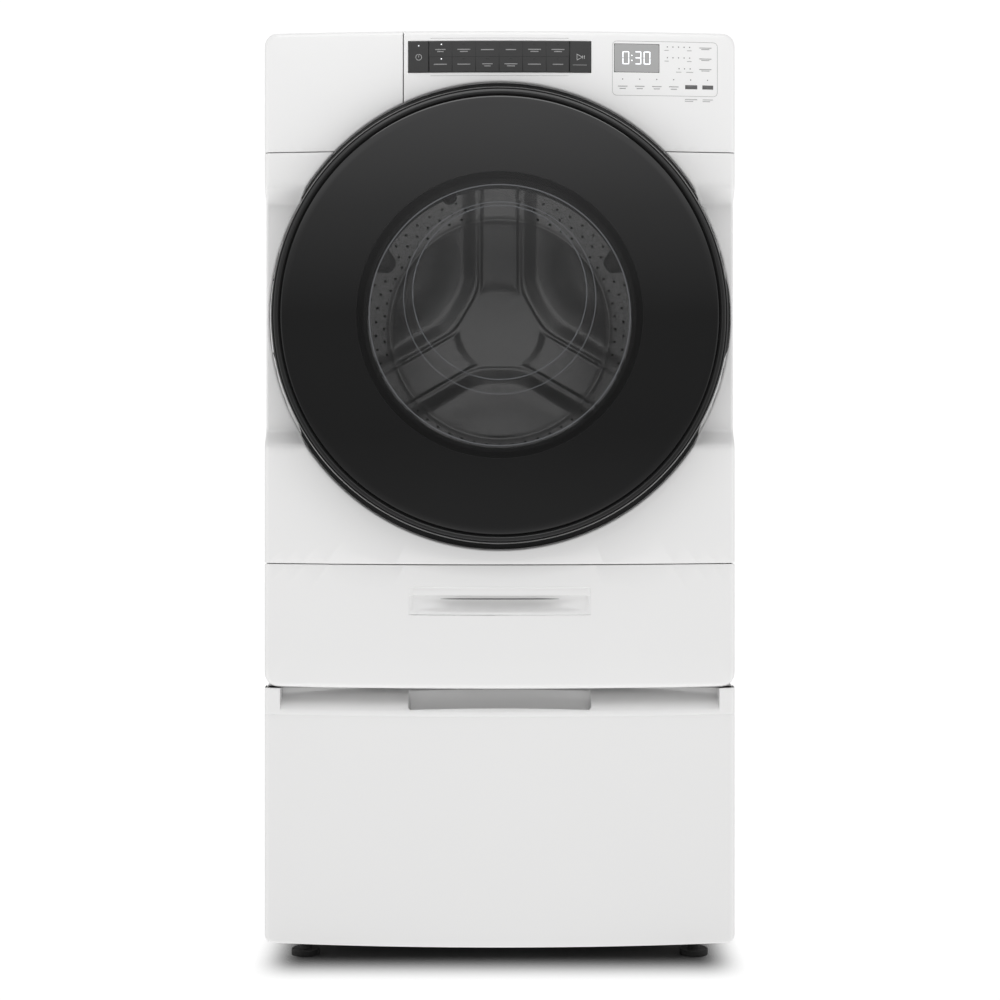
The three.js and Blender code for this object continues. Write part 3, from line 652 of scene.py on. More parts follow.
def cut_window(bm, x0, x1, z0, z1, depth=6 * MM):
    """Opens a rectangular window in a shell and turns its edge inwards."""
    near = [
        f for f in bm.faces
        if f.normal.y < -0.3
        and any(x0 - 40 * MM < v.co.x < x1 + 40 * MM and z0 - 40 * MM < v.co.z < z1 + 40 * MM
                for v in f.verts)
    ]
    rim_lines = [(a, v + s) for a, v, s in (
        (0, x0, -1.5 * MM), (0, x1, 1.5 * MM), (2, z0, -1.5 * MM), (2, z1, 1.5 * MM),
    )]
    for axis, value in ((0, x0), (0, x1), (2, z0), (2, z1), *rim_lines):
        near = [f for f in near if f.is_valid]
        geom = list({v for f in near for v in f.verts} | {e for f in near for e in f.edges}) + near
        point = Vector((0, 0, 0))
        point[axis] = value
        normal = Vector((0, 0, 0))
        normal[axis] = 1
        out = bmesh.ops.bisect_plane(bm, geom=geom, plane_co=point, plane_no=normal, dist=1e-6)
        near = [g for g in out["geom"] if isinstance(g, bmesh.types.BMFace)]
    inside = [
        f for f in bm.faces
        if x0 < f.calc_center_median().x < x1 and z0 < f.calc_center_median().z < z1
        and f.normal.y < -0.3
    ]
    bmesh.ops.delete(bm, geom=inside, context="FACES")
    rim = [
        e for e in bm.edges
        if e.is_boundary and all(
            x0 - 1e-5 < v.co.x < x1 + 1e-5 and z0 - 1e-5 < v.co.z < z1 + 1e-5 for v in e.verts
        )
    ]
    out = bmesh.ops.extrude_edge_only(bm, edges=rim)["geom"]
    for vert in (g for g in out if isinstance(g, bmesh.types.BMVert)):
        vert.co.y += depth


sheet = front_sheet()
print("front sheet:", len(sheet.faces), "faces")

# %% Main front panel, console and dispenser front
X, Z = 0, 2
GAP = 0.65 * MM  # half a seam
strip_low, strip_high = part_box("cycle_pad_strip")
power_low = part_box("power_key")[0]
start_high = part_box("start_key")[1]
display_low, display_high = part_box("display_window")

panel = sheet.copy()
trim(panel, Z, TOP_SEAM - GAP, 1)
trim(panel, Z, LOW_SEAM + GAP, -1)
thicken(piece("front_shell", panel, "cabinet", "white_paint", replaces=["front_panel"]), 1.2 * MM)

panel = sheet.copy()
trim(panel, Z, TOP_SEAM + GAP, -1)
trim(panel, X, SPLIT_X + GAP, -1)
margin = 0.6 * MM
cut_window(
    panel, power_low.x - margin, start_high.x + margin, strip_low.z - margin, strip_high.z + margin
)
cut_window(
    panel, display_low.x - margin, display_high.x + margin, display_low.z - margin,
    display_high.z + margin,
)
thicken(
    piece("console_shell", panel, "cabinet", "white_plastic", replaces=["console_panel"]), 1.2 * MM
)

panel = sheet.copy()
trim(panel, Z, TOP_SEAM + GAP, -1)
trim(panel, X, SPLIT_X - GAP, 1)
thicken(
    piece(
        "dispenser_shell", panel, "dispenser_drawer", "white_plastic", replaces=["dispenser_front"]
    ), 1.2 * MM,
)

# %% [markdown]
# The lower panel lies below the dish, but cutting it from the same sheet keeps its corners and its
# rolled edges in line with the rest. Its pull is a scoop: a flat brow at the top, a thin slot that
# fingers reach through, and a curved floor that catches the light at its bottom edge. The slot is not
# cut: a thin black bar laid in the scoop is painted shade for its dark gap.

# %% Lower panel with its pull
PULL_HALF = 132 * MM
PULL_LOW = 517.5 * MM
PULL_HIGH = 557.5 * MM
SLOT_HALF = 86 * MM


def scoop_floor(across, up):
    """Depth of the scoop behind the panel's surface, for shares from 0 to 1 of its width and height."""
    if up > 0.68:
        return 3 * MM
    middle = soft(min(across, 1 - across) / 0.36)
    return (2 + (5 + 15 * middle) * math.sin(math.pi / 2 * soft(up / 0.64))) * MM


def add_scoop(bm, half, low, high, floor):
    sheet = bmesh.new()
    bmesh.ops.create_grid(sheet, x_segments=90, y_segments=48, size=0.5)
    for vert in sheet.verts:
        across, up = vert.co.x + 0.5, vert.co.y + 0.5
        x = -half + across * 2 * half
        z = low + up * (high - low)
        end = soft(min(min(across, 1 - across) * 2 * half / (7 * MM), 1))
        brink = soft(min(up * (high - low) / (9 * MM), 1))
        brow = soft(min((1 - up) * (high - low) / (1.6 * MM), 1))
        vert.co = (x, front_y(x, z) + floor(across, up) * end * brink * brow, z)
    face_front(sheet)
    joined = bpy.data.meshes.new("scoop")
    sheet.to_mesh(joined)
    sheet.free()
    bm.from_mesh(joined)
    bpy.data.meshes.remove(joined)


panel = sheet.copy()
trim(panel, Z, LOW_SEAM - GAP, 1)
bevel_low = Vector((0, EDGE_Y + 6 * MM, LOW_SEAM - 1 * MM))
bevel_high = Vector((0, RETURN_Y, LOW_SEAM - 6.4 * MM))
across_bevel = bevel_high - bevel_low
bmesh.ops.bisect_plane(
    panel, geom=panel.verts[:] + panel.edges[:] + panel.faces[:], plane_co=bevel_low,
    plane_no=(0, -across_bevel.z, across_bevel.y), clear_outer=True, dist=1e-6,
)
cut_window(panel, -PULL_HALF, PULL_HALF, PULL_LOW, PULL_HIGH, 0.0)
add_scoop(panel, PULL_HALF, PULL_LOW, PULL_HIGH, scoop_floor)
thicken(
    piece("lower_shell", panel, "service_panel", "white_paint", replaces=["lower_front_panel"]),
    1.2 * MM,
)
sheet.free()
# a thin black bar: painted shade for the dark gap of the finger slot
slot_shade = bmesh.new()
bmesh.ops.create_grid(slot_shade, x_segments=40, y_segments=2, size=0.5)
SLOT_Z = PULL_LOW + 0.6 * (PULL_HIGH - PULL_LOW)
for vert in slot_shade.verts:
    x = vert.co.x * 2 * SLOT_HALF
    taper = 1 - (abs(vert.co.x) * 2) ** 6
    vert.co = (x, bow_y(x) + 2.2 * MM, SLOT_Z - 1.4 * MM + vert.co.y * (0.3 + 1.3 * taper) * MM)
face_front(slot_shade)
thicken(piece("pull_slot_shade", slot_shade, "service_panel", "black_plastic"), 0.4 * MM)
print("front shells made")

# %% [markdown]
# ## The door
# The rim, the tinted cover, the inner frame and the glass bowl are all round, so each is a profile
# that is spun about the door's axis. The profiles give radius and depth in millimetres, and small
# fillets on their corners make the highlights that run round the ring.

# %% Rim and cover
RIM = RIM_RADIUS / MM
FACE = 313.3
FACE_CENTRE, FACE_EDGE = -84.0, -66.0


def dome(r):
    """Depth of the cover: nearly flat in the middle and rounder towards its edge."""
    return FACE_CENTRE + (FACE_EDGE - FACE_CENTRE) * (r / FACE) ** 2


rim_profile = fillet([
    (RIM, -22, 1.5), (RIM, -50, 6), (326, -58.5, 2), (324.6, -58.5, 0.4), (324.6, -57.2, 0.4),
    (323.4, -57.2, 0.4), (323.4, -61.2, 1.5), (319, -62.4, 2), (FACE + 0.8, -59.5, 1),
    (FACE + 0.8, -27, 0.5), (292, -27, 0.8), (292, -22, 0.8),
])
rim = piece("rim_ring", spun(rim_profile, 192), "door", "black_gloss", replaces=["door_rim"])

cover_out = [(r, dome(r)) for r in (0, 30, 70, 110, 150, 190, 230, 262, 288, 303, 310.5)]
cover_in = [(r, dome(r) + 3.5) for r in (309, 288, 262, 230, 204, 190, 150, 110, 70, 30, 0)]
cover_edge = [(312.6, dome(312) + 0.6), (FACE, dome(FACE) + 1.8), (FACE - 0.4, dome(FACE) + 3.3)]
piece(
    "tinted_cover", spun(cover_out + cover_edge + cover_in, 192, closed=False), "door",
    "tinted_face", replaces=["door_face"],
)

# a fine metal bead where the tint ends and the window starts
bead = fillet([(204.2, -73.6, 0.4), (205.6, -73.2, 0.4), (205.8, -71.8, 0.4), (204.0, -72.0, 0.4)])
piece("window_bead", spun(bead, 160), "door", "bead", slot="stainless")

# %% Inner frame and bowl
frame_profile = fillet([
    (190, -55.5, 1), (196, -55.5, 1), (196, -21.4, 1.5), (240, -21.4, 2), (244, -23.4, 2),
    (268, -23.4, 2), (272, -21.4, 2), (282, -21.4, 1.5), (282, -57, 0.5), (286, -57, 0.5),
    (286, -17.4, 3), (274, -17.2, 2), (270, -19.2, 2), (242, -19.2, 2), (238, -17.2, 2),
    (192, -17.2, 2.5),
])
piece(
    "inner_frame_ring", spun(frame_profile, 160), "door", "frame_black", slot="black_plastic",
    replaces=["door_inner_frame"],
)

bowl_profile = fillet([
    (0, 106, 0), (112, 105, 10), (134, 95, 12), (150, 56, 20), (181, -38, 14), (185.5, -58.4, 3),
    (205, -58.4, 1), (205.6, -54.6, 1), (189.4, -54.6, 2), (187.5, -40, 12), (157, 60, 20),
    (141, 101, 14), (126, 110, 12), (0, 110, 0),
], closed=False, steps=6)
bowl = spun(bowl_profile, 160, closed=False)
BOWL_START, BOWL_END, BOWL_RISE = -40 * MM, 110 * MM, 43 * MM
for vert in bowl.verts:
    share = (vert.co.y - EDGE_Y - BOWL_START) / (BOWL_END - BOWL_START)
    vert.co.z += BOWL_RISE * min(max(share, 0), 1)
piece("glass_bowl", bowl, "door", "clear_bowl", replaces=["door_bowl"])

# pressed beads where the glass turns; their glow is a painted highlight
for name, radius, depth, rise, size in (
    ("bowl_bead_front", 186.5, -60.2, 0, 0.8), ("bowl_bead_end", 131, 100, 40.5, 0.8),
    ("bowl_bead_wall", 143, 66, 30.5, 0.6),
):
    round_bead = [
        (radius + size * math.cos(k * math.tau / 8), depth + size * math.sin(k * math.tau / 8))
        for k in range(8)
    ]
    piece(name, spun(round_bead, 160, centre=(0, rise * MM)), "door", "glowing_glass_edge", "clear_bowl")

# %% [markdown]
# A black ring lies in the dish behind the rim. It follows the bowed panel, and beside the waist
# it narrows along a straight slanted edge until the rim hides it.

# %% Surround in the dish
SURROUND_INNER = 304 * MM
SURROUND_OUTER = DISH_RADIUS - 0.8 * MM
SURROUND_WAIST = 325 * MM
CUT_HIGH = (288 * MM, 171 * MM)  # ends of the slanted edge, from the door's centre
CUT_LOW = (313 * MM, 102 * MM)
NOTCH = 55 * MM


def surround_outer(angle):
    c, s = abs(math.cos(angle)), abs(math.sin(angle))
    lean = (CUT_LOW[0] - CUT_HIGH[0]) / (CUT_HIGH[1] - CUT_LOW[1])
    slanted = (CUT_HIGH[0] + lean * CUT_HIGH[1]) / (c + lean * s)
    if SURROUND_OUTER * s > CUT_HIGH[1]:
        return SURROUND_OUTER
    return min(SURROUND_OUTER, max(slanted, SURROUND_WAIST))


ring = bmesh.new()
bmesh.ops.create_circle(ring, cap_ends=False, radius=SURROUND_INNER, segments=360)
upright = Matrix.Translation((0, 0, DOOR_Z)) @ Matrix.Rotation(math.pi / 2, 4, "X")
bmesh.ops.transform(ring, matrix=upright, verts=ring.verts)
edges = list(ring.edges)


def surround_point(share, depth):
    def place(angle):
        radius = SURROUND_INNER + share * (surround_outer(angle) - SURROUND_INNER)
        x = radius * math.cos(angle)
        y = max(bow_y(x) + depth * MM, EDGE_Y - 19 * MM)
        return Vector((x, min(y, EDGE_Y + 4 * MM), DOOR_Z + radius * math.sin(angle)))
    return place


for vert in ring.verts:
    vert.co = surround_point(0, 16)(math.atan2(vert.co.z - DOOR_Z, vert.co.x))
for share, depth in ((0.02, 5.4), (0.08, 4.6), (0.9, 4.6), (0.985, 5.0), (1.0, 6.2), (1.0, 18)):
    edges = extrude_ring(ring, edges, surround_point(share, depth))
notched = [
    f for f in ring.faces
    if f.calc_center_median().x < 0 and abs(f.calc_center_median().z - DOOR_Z) < NOTCH
]
bmesh.ops.delete(ring, geom=notched, context="FACES")
face_front(ring)
thicken(
    piece("surround_ring", ring, "cabinet", "black_gloss", "black_plastic", ["door_surround"]),
    2 * MM,
)

# %% [markdown]
# ## The dish and the gasket
# Behind the door the panel forms a shallow dish with a hole for the gasket. Beside the waist the
# floor of the dish drops with it. The gasket is a rubber bellows between that hole and the tub.

# %% Dish and gasket
DISH_FLOOR = EDGE_Y + 5 * MM
GASKET_HOLE = 205 * MM
dish = bmesh.new()
bmesh.ops.create_circle(dish, cap_ends=False, radius=GASKET_HOLE, segments=360)
bmesh.ops.transform(dish, matrix=upright, verts=dish.verts)


def dish_point(radius, wall=None):
    def place(angle):
        x, z = radius * math.cos(angle), DOOR_Z + radius * math.sin(angle)
        hollow = waist(x, z)
        y = DISH_FLOOR * (1 - hollow) + WAIST_FLOOR * hollow
        if wall is not None:
            y = min(y, front_y(x, z) + wall * MM)
        return Vector((x, y, z))
    return place


for vert in dish.verts:
    vert.co.y = DISH_FLOOR + 5 * MM
edges = list(dish.edges)
steps = [(205.3, None), (206.2, None), (230, None), (262, None), (270, None), (276, None)]
steps += [(282, None), (300, None), (320, None), (333.5, None), (336.2, None)]
for radius, wall in (*steps, (337.2, 11), (337.4, 8), (337.4, 5)):
    edges = extrude_ring(dish, edges, dish_point(radius * MM, wall))
face_front(dish)
thicken(piece("door_dish", dish, "cabinet", "white_paint", replaces=["front_panel"]), 1.2 * MM)

gasket_profile = fillet([
    (199, -3, 2), (204, -3, 2), (204, 14, 3), (224, 26, 4), (224, 36, 4), (210, 44, 4),
    (224, 52, 4), (224, 62, 4), (212, 72, 3), (212, 113, 1), (206.5, 113, 1), (206.5, 70, 3),
    (218, 60, 3), (218, 53.5, 3), (203, 44, 4), (218, 35, 3), (218, 28, 3), (199, 16, 4),
])
piece(
    "gasket_bellows", spun(gasket_profile, 144), "cabinet", "grey_rubber", replaces=["door_gasket"]
)

# %% [markdown]
# A spray nozzle sits in the mouth of the gasket at eleven o'clock and rinses the door glass. Only
# its lower half shows past the window's edge.

# %% Spray nozzle
NOZZLE_FROM_AXIS = 199 * MM
NOZZLE_ANGLE = math.radians(112.5)
NOZZLE_RADIUS, NOZZLE_LENGTH = 11 * MM, 34 * MM
NOZZLE_Y = EDGE_Y + 94 * MM
nozzle = bmesh.new()
nozzle_place = Vector((
    NOZZLE_FROM_AXIS * math.cos(NOZZLE_ANGLE), NOZZLE_Y,
    DOOR_Z + NOZZLE_FROM_AXIS * math.sin(NOZZLE_ANGLE),
))
bmesh.ops.create_cone(
    nozzle, cap_ends=True, segments=40, radius1=NOZZLE_RADIUS, radius2=NOZZLE_RADIUS,
    depth=NOZZLE_LENGTH,
    matrix=Matrix.Translation(nozzle_place) @ Matrix.Rotation(math.pi / 2, 4, "X"),
)
rims = [e for e in nozzle.edges if e.calc_face_angle(0) > 1]
bmesh.ops.bevel(
    nozzle, geom=rims, offset=2 * MM, offset_type="OFFSET", affect="EDGES", segments=3,
    profile=0.5, material=-1,
)
piece("spray_nozzle", nozzle, "cabinet", "black_rubber", slot="grey_rubber")

# %% [markdown]
# ## Keys, display and printed marks
# The key strip and the display are plates that follow the bow of the console. `plate` makes one
# from a grid whose lines crowd towards the edges, so that the small roll at the rim is smooth.

# %% Bowed plates
def spread(low, high, fine, coarse=7 * MM):
    """Values from low to high, crowded near both ends."""
    steps = [s * MM for s in (0, 0.08, 0.25, 0.5, 0.8, 1.4, 2.2, 3.1, 4)] if fine else [0]
    inner = max(int((high - low - 2 * steps[-1]) / coarse), 2)
    width = high - low - 2 * steps[-1]
    middle = [low + steps[-1] + width * k / inner for k in range(1, inner)]
    return [low + s for s in steps] + middle + [high - s for s in reversed(steps)]


def grid_of(columns, rows, place):
    """A grid of quads whose vertex in column i and row j lies at place(i, j)."""
    bm = bmesh.new()
    wide, tall = len(columns) - 1, len(rows) - 1
    bmesh.ops.create_grid(bm, x_segments=wide, y_segments=tall, size=0.5)
    for vert in bm.verts:
        i, j = round((vert.co.x + 0.5) * wide), round((vert.co.y + 0.5) * tall)
        vert.co = place(columns[i], rows[j])
    face_front(bm)
    return bm


def plate(x0, x1, z0, z1, proud, left=0.0, right=0.0, depth=4 * MM, roll=0.7 * MM):
    def place(x, z):
        edge = min(x - x0, x1 - x, z - z0, z1 - z)
        radius = left if x < (x0 + x1) / 2 else right
        if radius:
            a = 1 - min(x - x0, x1 - x) / radius
            b = 1 - min(z - z0, z1 - z) / radius
            if a > 0 and b > 0:
                a, b = a * math.sqrt(1 - b * b / 2), b * math.sqrt(1 - a * a / 2)
                edge = radius * (1 - math.hypot(a, b))
                x = x0 + radius * (1 - a) if x < (x0 + x1) / 2 else x1 - radius * (1 - a)
                z = z0 + radius * (1 - b) if z < (z0 + z1) / 2 else z1 - radius * (1 - b)
        y = bow_y(x) - proud
        if edge < roll:
            y += roll - math.sqrt(max(roll**2 - (roll - max(edge, 0)) ** 2, 0))
        return Vector((x, y, z))

    bm = grid_of(spread(x0, x1, True), spread(z0, z1, True), place)
    out = bmesh.ops.extrude_edge_only(bm, edges=[e for e in bm.edges if e.is_boundary])["geom"]
    for vert in (g for g in out if isinstance(g, bmesh.types.BMVert)):
        vert.co.y += depth
    bmesh.ops.recalc_face_normals(bm, faces=bm.faces)
    return bm


STRIP_PROUD = 1.2 * MM
strip = (strip_low.z, strip_high.z)
power_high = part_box("power_key")[1]
start_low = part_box("start_key")[0]
power_x = (power_low.x, power_high.x)
start_x = (start_low.x, start_high.x)
thicken(piece(
    "touch_strip", plate(strip_low.x, strip_high.x, *strip, STRIP_PROUD), "cabinet",
    "strip_face", "black_gloss", ["cycle_pad_strip"],
), 1 * MM)
thicken(piece(
    "power_cap", plate(*power_x, *strip, STRIP_PROUD, left=4 * MM), "power_button",
    "strip_face", "black_gloss", ["power_key"],
), 1 * MM)
thicken(piece(
    "start_cap", plate(*start_x, *strip, STRIP_PROUD, right=4 * MM), "start_button",
    "strip_face", "black_gloss", ["start_key"],
), 1 * MM)
thicken(piece(
    "display_pane",
    plate(
        display_low.x, display_high.x, display_low.z, display_high.z, 0.1 * MM, 2.5 * MM,
        2.5 * MM, roll=0.3 * MM,
    ),
    "cabinet", "display_grey", slot="grey_plastic", replaces=["display_window"],
), 1 * MM)

# %% [markdown]
# Every printed mark is a small flat shape that is laid on the bowed surface and given a tenth of a
# millimetre of thickness. Words are replaced by plain bars. Only the digits of the timer are real.


# %% Mark shapes
class Marks:
    """Collects flat shapes in x and z millimetres, laid a little in front of a bowed surface."""

    def __init__(self, proud):
        self.bm = bmesh.new()
        self.proud = proud * MM

    def lay(self, verts, x, z):
        for vert in verts:
            px, pz = x * MM + vert.co.x * MM, z * MM + vert.co.y * MM
            vert.co = (px, bow_y(px) - self.proud, pz)

    def bar(self, x0, x1, z0, z1):
        steps = max(int((x1 - x0) / 6), 1)
        out = bmesh.ops.create_grid(self.bm, x_segments=steps, y_segments=1, size=0.5)
        for vert in out["verts"]:
            vert.co = (vert.co.x * (x1 - x0), vert.co.y * (z1 - z0), 0)
        self.lay(out["verts"], (x0 + x1) / 2, (z0 + z1) / 2)

    def dot(self, x, z, radius, sides=16):
        out = bmesh.ops.create_circle(self.bm, cap_ends=True, radius=radius, segments=sides)
        self.lay(out["verts"], x, z)

    def ring(self, x, z, radius, width):
        rings = []
        for size in (radius - width, radius):
            before = set(self.bm.edges)
            bmesh.ops.create_circle(self.bm, cap_ends=False, radius=size, segments=28)
            rings += [e for e in self.bm.edges if e not in before]
        self.lay({v for e in rings for v in e.verts}, x, z)
        bmesh.ops.bridge_loops(self.bm, edges=rings)

    def outline_wedge(self, x, z, radius, width):
        """An outlined triangle that points to the right."""
        rings = []
        for size in (radius - width, radius):
            before = set(self.bm.edges)
            bmesh.ops.create_circle(
                self.bm, cap_ends=False, radius=size, segments=3,
                matrix=Matrix.Rotation(-math.pi / 2, 4, "Z"),
            )
            rings += [e for e in self.bm.edges if e not in before]
        self.lay({v for e in rings for v in e.verts}, x, z)
        bmesh.ops.bridge_loops(self.bm, edges=rings)

    def frame(self, x0, x1, z0, z1, width, corner):
        """A thin outline with rounded corners."""
        loops = []
        for inset in (0, width):
            before = set(self.bm.verts)
            bmesh.ops.create_circle(self.bm, cap_ends=False, radius=1, segments=120)
            ring = [v for v in self.bm.verts if v not in before]
            loops += list({e for v in ring for e in v.link_edges})
            half_x, half_z = (x1 - x0) / 2 - inset, (z1 - z0) / 2 - inset
            radius = corner - inset
            for vert in ring:
                angle = math.atan2(vert.co.y, vert.co.x)
                vert.co = (*rounded_point(angle, half_x, half_z, radius), 0)
            self.lay(ring, (x0 + x1) / 2, (z0 + z1) / 2)
        bmesh.ops.bridge_loops(self.bm, edges=loops)

    def done(self, name, body, look, slot):
        self.bm.normal_update()
        flipped = [f for f in self.bm.faces if f.normal.y > 0]
        bmesh.ops.reverse_faces(self.bm, faces=flipped)
        return thicken(piece(name, self.bm, body, look, slot), 0.1 * MM)


def rounded_point(angle, half_x, half_z, radius):
    """A point on a rounded rectangle. The angle 0 to 360 runs evenly round its outline."""
    straight = (2 * (half_x - radius), 2 * (half_z - radius))
    arc = math.pi / 2 * radius
    total = 2 * (straight[0] + straight[1]) + 4 * arc
    place = (angle / math.tau) % 1 * total
    x, z, heading = half_x, -half_z + radius, math.pi / 2
    for side in (straight[1], straight[0], straight[1], straight[0]):
        if place <= side:
            return x + math.cos(heading) * place, z + math.sin(heading) * place
        x, z = x + math.cos(heading) * side, z + math.sin(heading) * side
        place -= side
        turn = min(place / radius, math.pi / 2)
        side_x, side_z = -math.sin(heading), math.cos(heading)
        centre_x, centre_z = x + side_x * radius, z + side_z * radius
        heading += turn
        x, z = centre_x + math.sin(heading) * radius, centre_z - math.cos(heading) * radius
        if place <= arc:
            return x, z
        place -= arc
    return x, z


# %% Marks on the key strip
PAD_COLUMNS = 6
PAD_LEFT, PAD_RIGHT, PAD_MIDDLE = -102.7, 101.1, 1323.5
PITCH = (PAD_RIGHT - PAD_LEFT) / PAD_COLUMNS
ON_STRIP = 1.32
dividers = Marks(ON_STRIP - 0.04)
labels = Marks(ON_STRIP)
lights = Marks(ON_STRIP + 0.04)
for column in range(PAD_COLUMNS):
    left = PAD_LEFT + column * PITCH
    middle = left + PITCH / 2
    if column:
        dividers.bar(left - 0.35, left + 0.35, 1302.4, 1344.8)
    for row, z in enumerate((1332.6, 1311.6)):
        wide = 9.4 if (column + row) % 3 else 7.6
        stacked = (column + 2 * row) % 4 < 2
        labels.bar(middle - wide, middle + wide, z + 0.4 * stacked, z + 1.5 + 0.4 * stacked)
        if stacked:
            labels.bar(middle - wide * 0.62, middle + wide * 0.62, z - 2.6, z - 1.1)
        if column == 0:
            lights.dot(middle + 1.5, z + 8.6, 0.9, 10)
        else:
            dividers.bar(middle - 2, middle + 2, z + 8.3, z + 8.9)
for x in (PAD_LEFT + 0.7, PAD_RIGHT - 0.7):
    dividers.bar(x - 0.5, x + 0.5, 1302.2, 1345)
dividers.bar(PAD_LEFT + 1, PAD_RIGHT - 1, PAD_MIDDLE - 0.35, PAD_MIDDLE + 0.35)
dividers.done("pad_dividers", "cabinet", "strip_line", "black_plastic")
labels.done("pad_labels", "cabinet", "print_pale", "grey_plastic")
lights.done("pad_lights", "cabinet", "lit", "white_plastic")

power_marks = Marks(ON_STRIP)
power_marks.ring(-117, 1322.8, 4.5, 0.55)
power_marks.bar(-117.3, -116.7, 1322.6, 1325.6)
power_marks.done("power_marks", "power_button", "print_bright", "white_plastic")
power_light = Marks(ON_STRIP)
power_light.dot(-117, 1339.3, 0.8, 10)
power_light.done("power_light", "power_button", "lit", "white_plastic")

start_marks = Marks(ON_STRIP)
start_marks.outline_wedge(114.2, 1323, 5.6, 1.1)
start_marks.bar(119.6, 120.3, 1320.6, 1325.4)
start_marks.bar(122.0, 122.7, 1320.6, 1325.4)
start_marks.done("start_marks", "start_button", "print_bright", "white_plastic")
start_line = Marks(ON_STRIP)
start_line.bar(105.5, 126, 1311.2, 1312.0)
start_line.done("start_line", "start_button", "print_pale", "grey_plastic")

# %% Marks on the console
ON_CONSOLE = 0.12
greys = Marks(ON_CONSOLE)
darks = Marks(ON_CONSOLE)
greys.bar(-100, 100, 1350.0, 1350.4)
greys.bar(-100, 100, 1295.9, 1296.3)
greys.frame(162.8, 317, 1268.4, 1347.4, 0.5, 6)
for row, z in enumerate((1339.7, 1324.1)):
    for k in range(5):
        darks.dot(243.2 + 8.17 * k, z, 0.85)
    greys.bar(239, 245, z - 5.4, z - 4.6)
    greys.bar(272, 278.6, z - 5.4, z - 4.6)
for x in (260.3, 268.4, 276.6):
    darks.dot(x, 1308.4, 0.85)
greys.bar(256, 263.6, 1303.0, 1303.8)
greys.bar(271, 281, 1303.0, 1303.8)
for z in (1338.4, 1322.5, 1307.2):
    greys.bar(290, 308, z + 0.2, z + 1.3)
    greys.bar(293, 305, z - 1.9, z - 0.9)
for k in range(6):
    x = 178 + 24.85 * k
    darks.dot(x, 1292.3, 0.85)
    if k < 4:
        greys.bar(x - 7, x + 7, 1281.4, 1282.5)
        greys.bar(x - 4.5, x + 4.5, 1278.0, 1279.1)
greys.bar(269, 287, 1263.4, 1264.3)
greys.bar(295, 310, 1263.4, 1264.3)
greys.bar(269, 281, 1260.9, 1261.8)
greys.bar(295, 306, 1260.9, 1261.8)
greys.done("console_marks", "cabinet", "print_grey", "grey_plastic")

darks.bar(269.3, 287, 1279, 1284.8)
darks.bar(294.6, 310.5, 1279, 1284.8)
darks.done("console_badges", "cabinet", "print_dark", "black_plastic")

# %% Digits of the timer
SEGMENTS = {"0": "abcdef", "3": "abcdg"}


def digit(marks, character, x, z, wide=9.6, tall=18.6, thick=1.15):
    half, up = wide / 2, tall / 2
    places = {
        "a": (-half + thick, half - thick, up - thick, up),
        "g": (-half + thick, half - thick, -thick / 2, thick / 2),
        "d": (-half + thick, half - thick, -up, -up + thick),
        "f": (-half, -half + thick, thick * 0.3, up - thick * 0.3),
        "b": (half - thick, half, thick * 0.3, up - thick * 0.3),
        "e": (-half, -half + thick, -up + thick * 0.3, -thick * 0.3),
        "c": (half - thick, half, -up + thick * 0.3, -thick * 0.3),
    }
    for name in SEGMENTS[character]:
        x0, x1, z0, z1 = places[name]
        marks.bar(x + x0, x + x1, z + z0, z + z1)


timer = Marks(0.3)
digit(timer, "0", 182.6, 1323)
timer.dot(191.4, 1326.6, 0.9)
timer.dot(191.4, 1319.4, 0.9)
digit(timer, "3", 200.2, 1323)
digit(timer, "0", 213.4, 1323)
timer.done("timer_digits", "cabinet", "lit", "white_plastic")

# %% [markdown]
# ## The pedestal drawer
# The drawer front is one bowed sheet. Above a fine bead it slopes back under the washer, except
# for a cheek at each side, and a finger pocket is pressed into the slope.

# %% Pedestal drawer front
drawer_low, drawer_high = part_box("pedestal_drawer_front")
FOOT_Z = drawer_low.z
SLOPE_TOP = drawer_high.z
BEAD = 377 * MM
LEAN = 50 * MM
CHEEK = 320 * MM
POCKET = 133 * MM
POCKET_FRONT, POCKET_BACK = EDGE_Y - 20 * MM, EDGE_Y + 20 * MM
POCKET_FLOOR = 356 * MM
DRAWER_CORNER = 12 * MM
UPRIGHT_LOW = ((6, 0), (3, 0.3), (1.2, 1.2), (0.3, 2.6), (0, 4.4), (0, 9), (0, 15))
UPRIGHT_HIGH = (
    (0, -280), (0, -200), (0, -120), (0, -60), (0, -18), (0, -9.4), (0.15, -8.6), (0.7, -7.6),
    (0.7, -6.6), (0.15, -5.6), (0, -4.8), (0, -3),
)
SLOPE_SHARES = (
    0.05, 0.09, 0.13, 0.2, 0.3, 0.4, 0.5, 0.58, 0.66, 0.74, 0.82, 0.9, 0.95, 0.97, 0.985,
)


def slope_point(y0, share):
    return Vector((0, min(y0 + LEAN * share, RETURN_Y - 0.6 * MM), BEAD + (SLOPE_TOP - BEAD) * share))


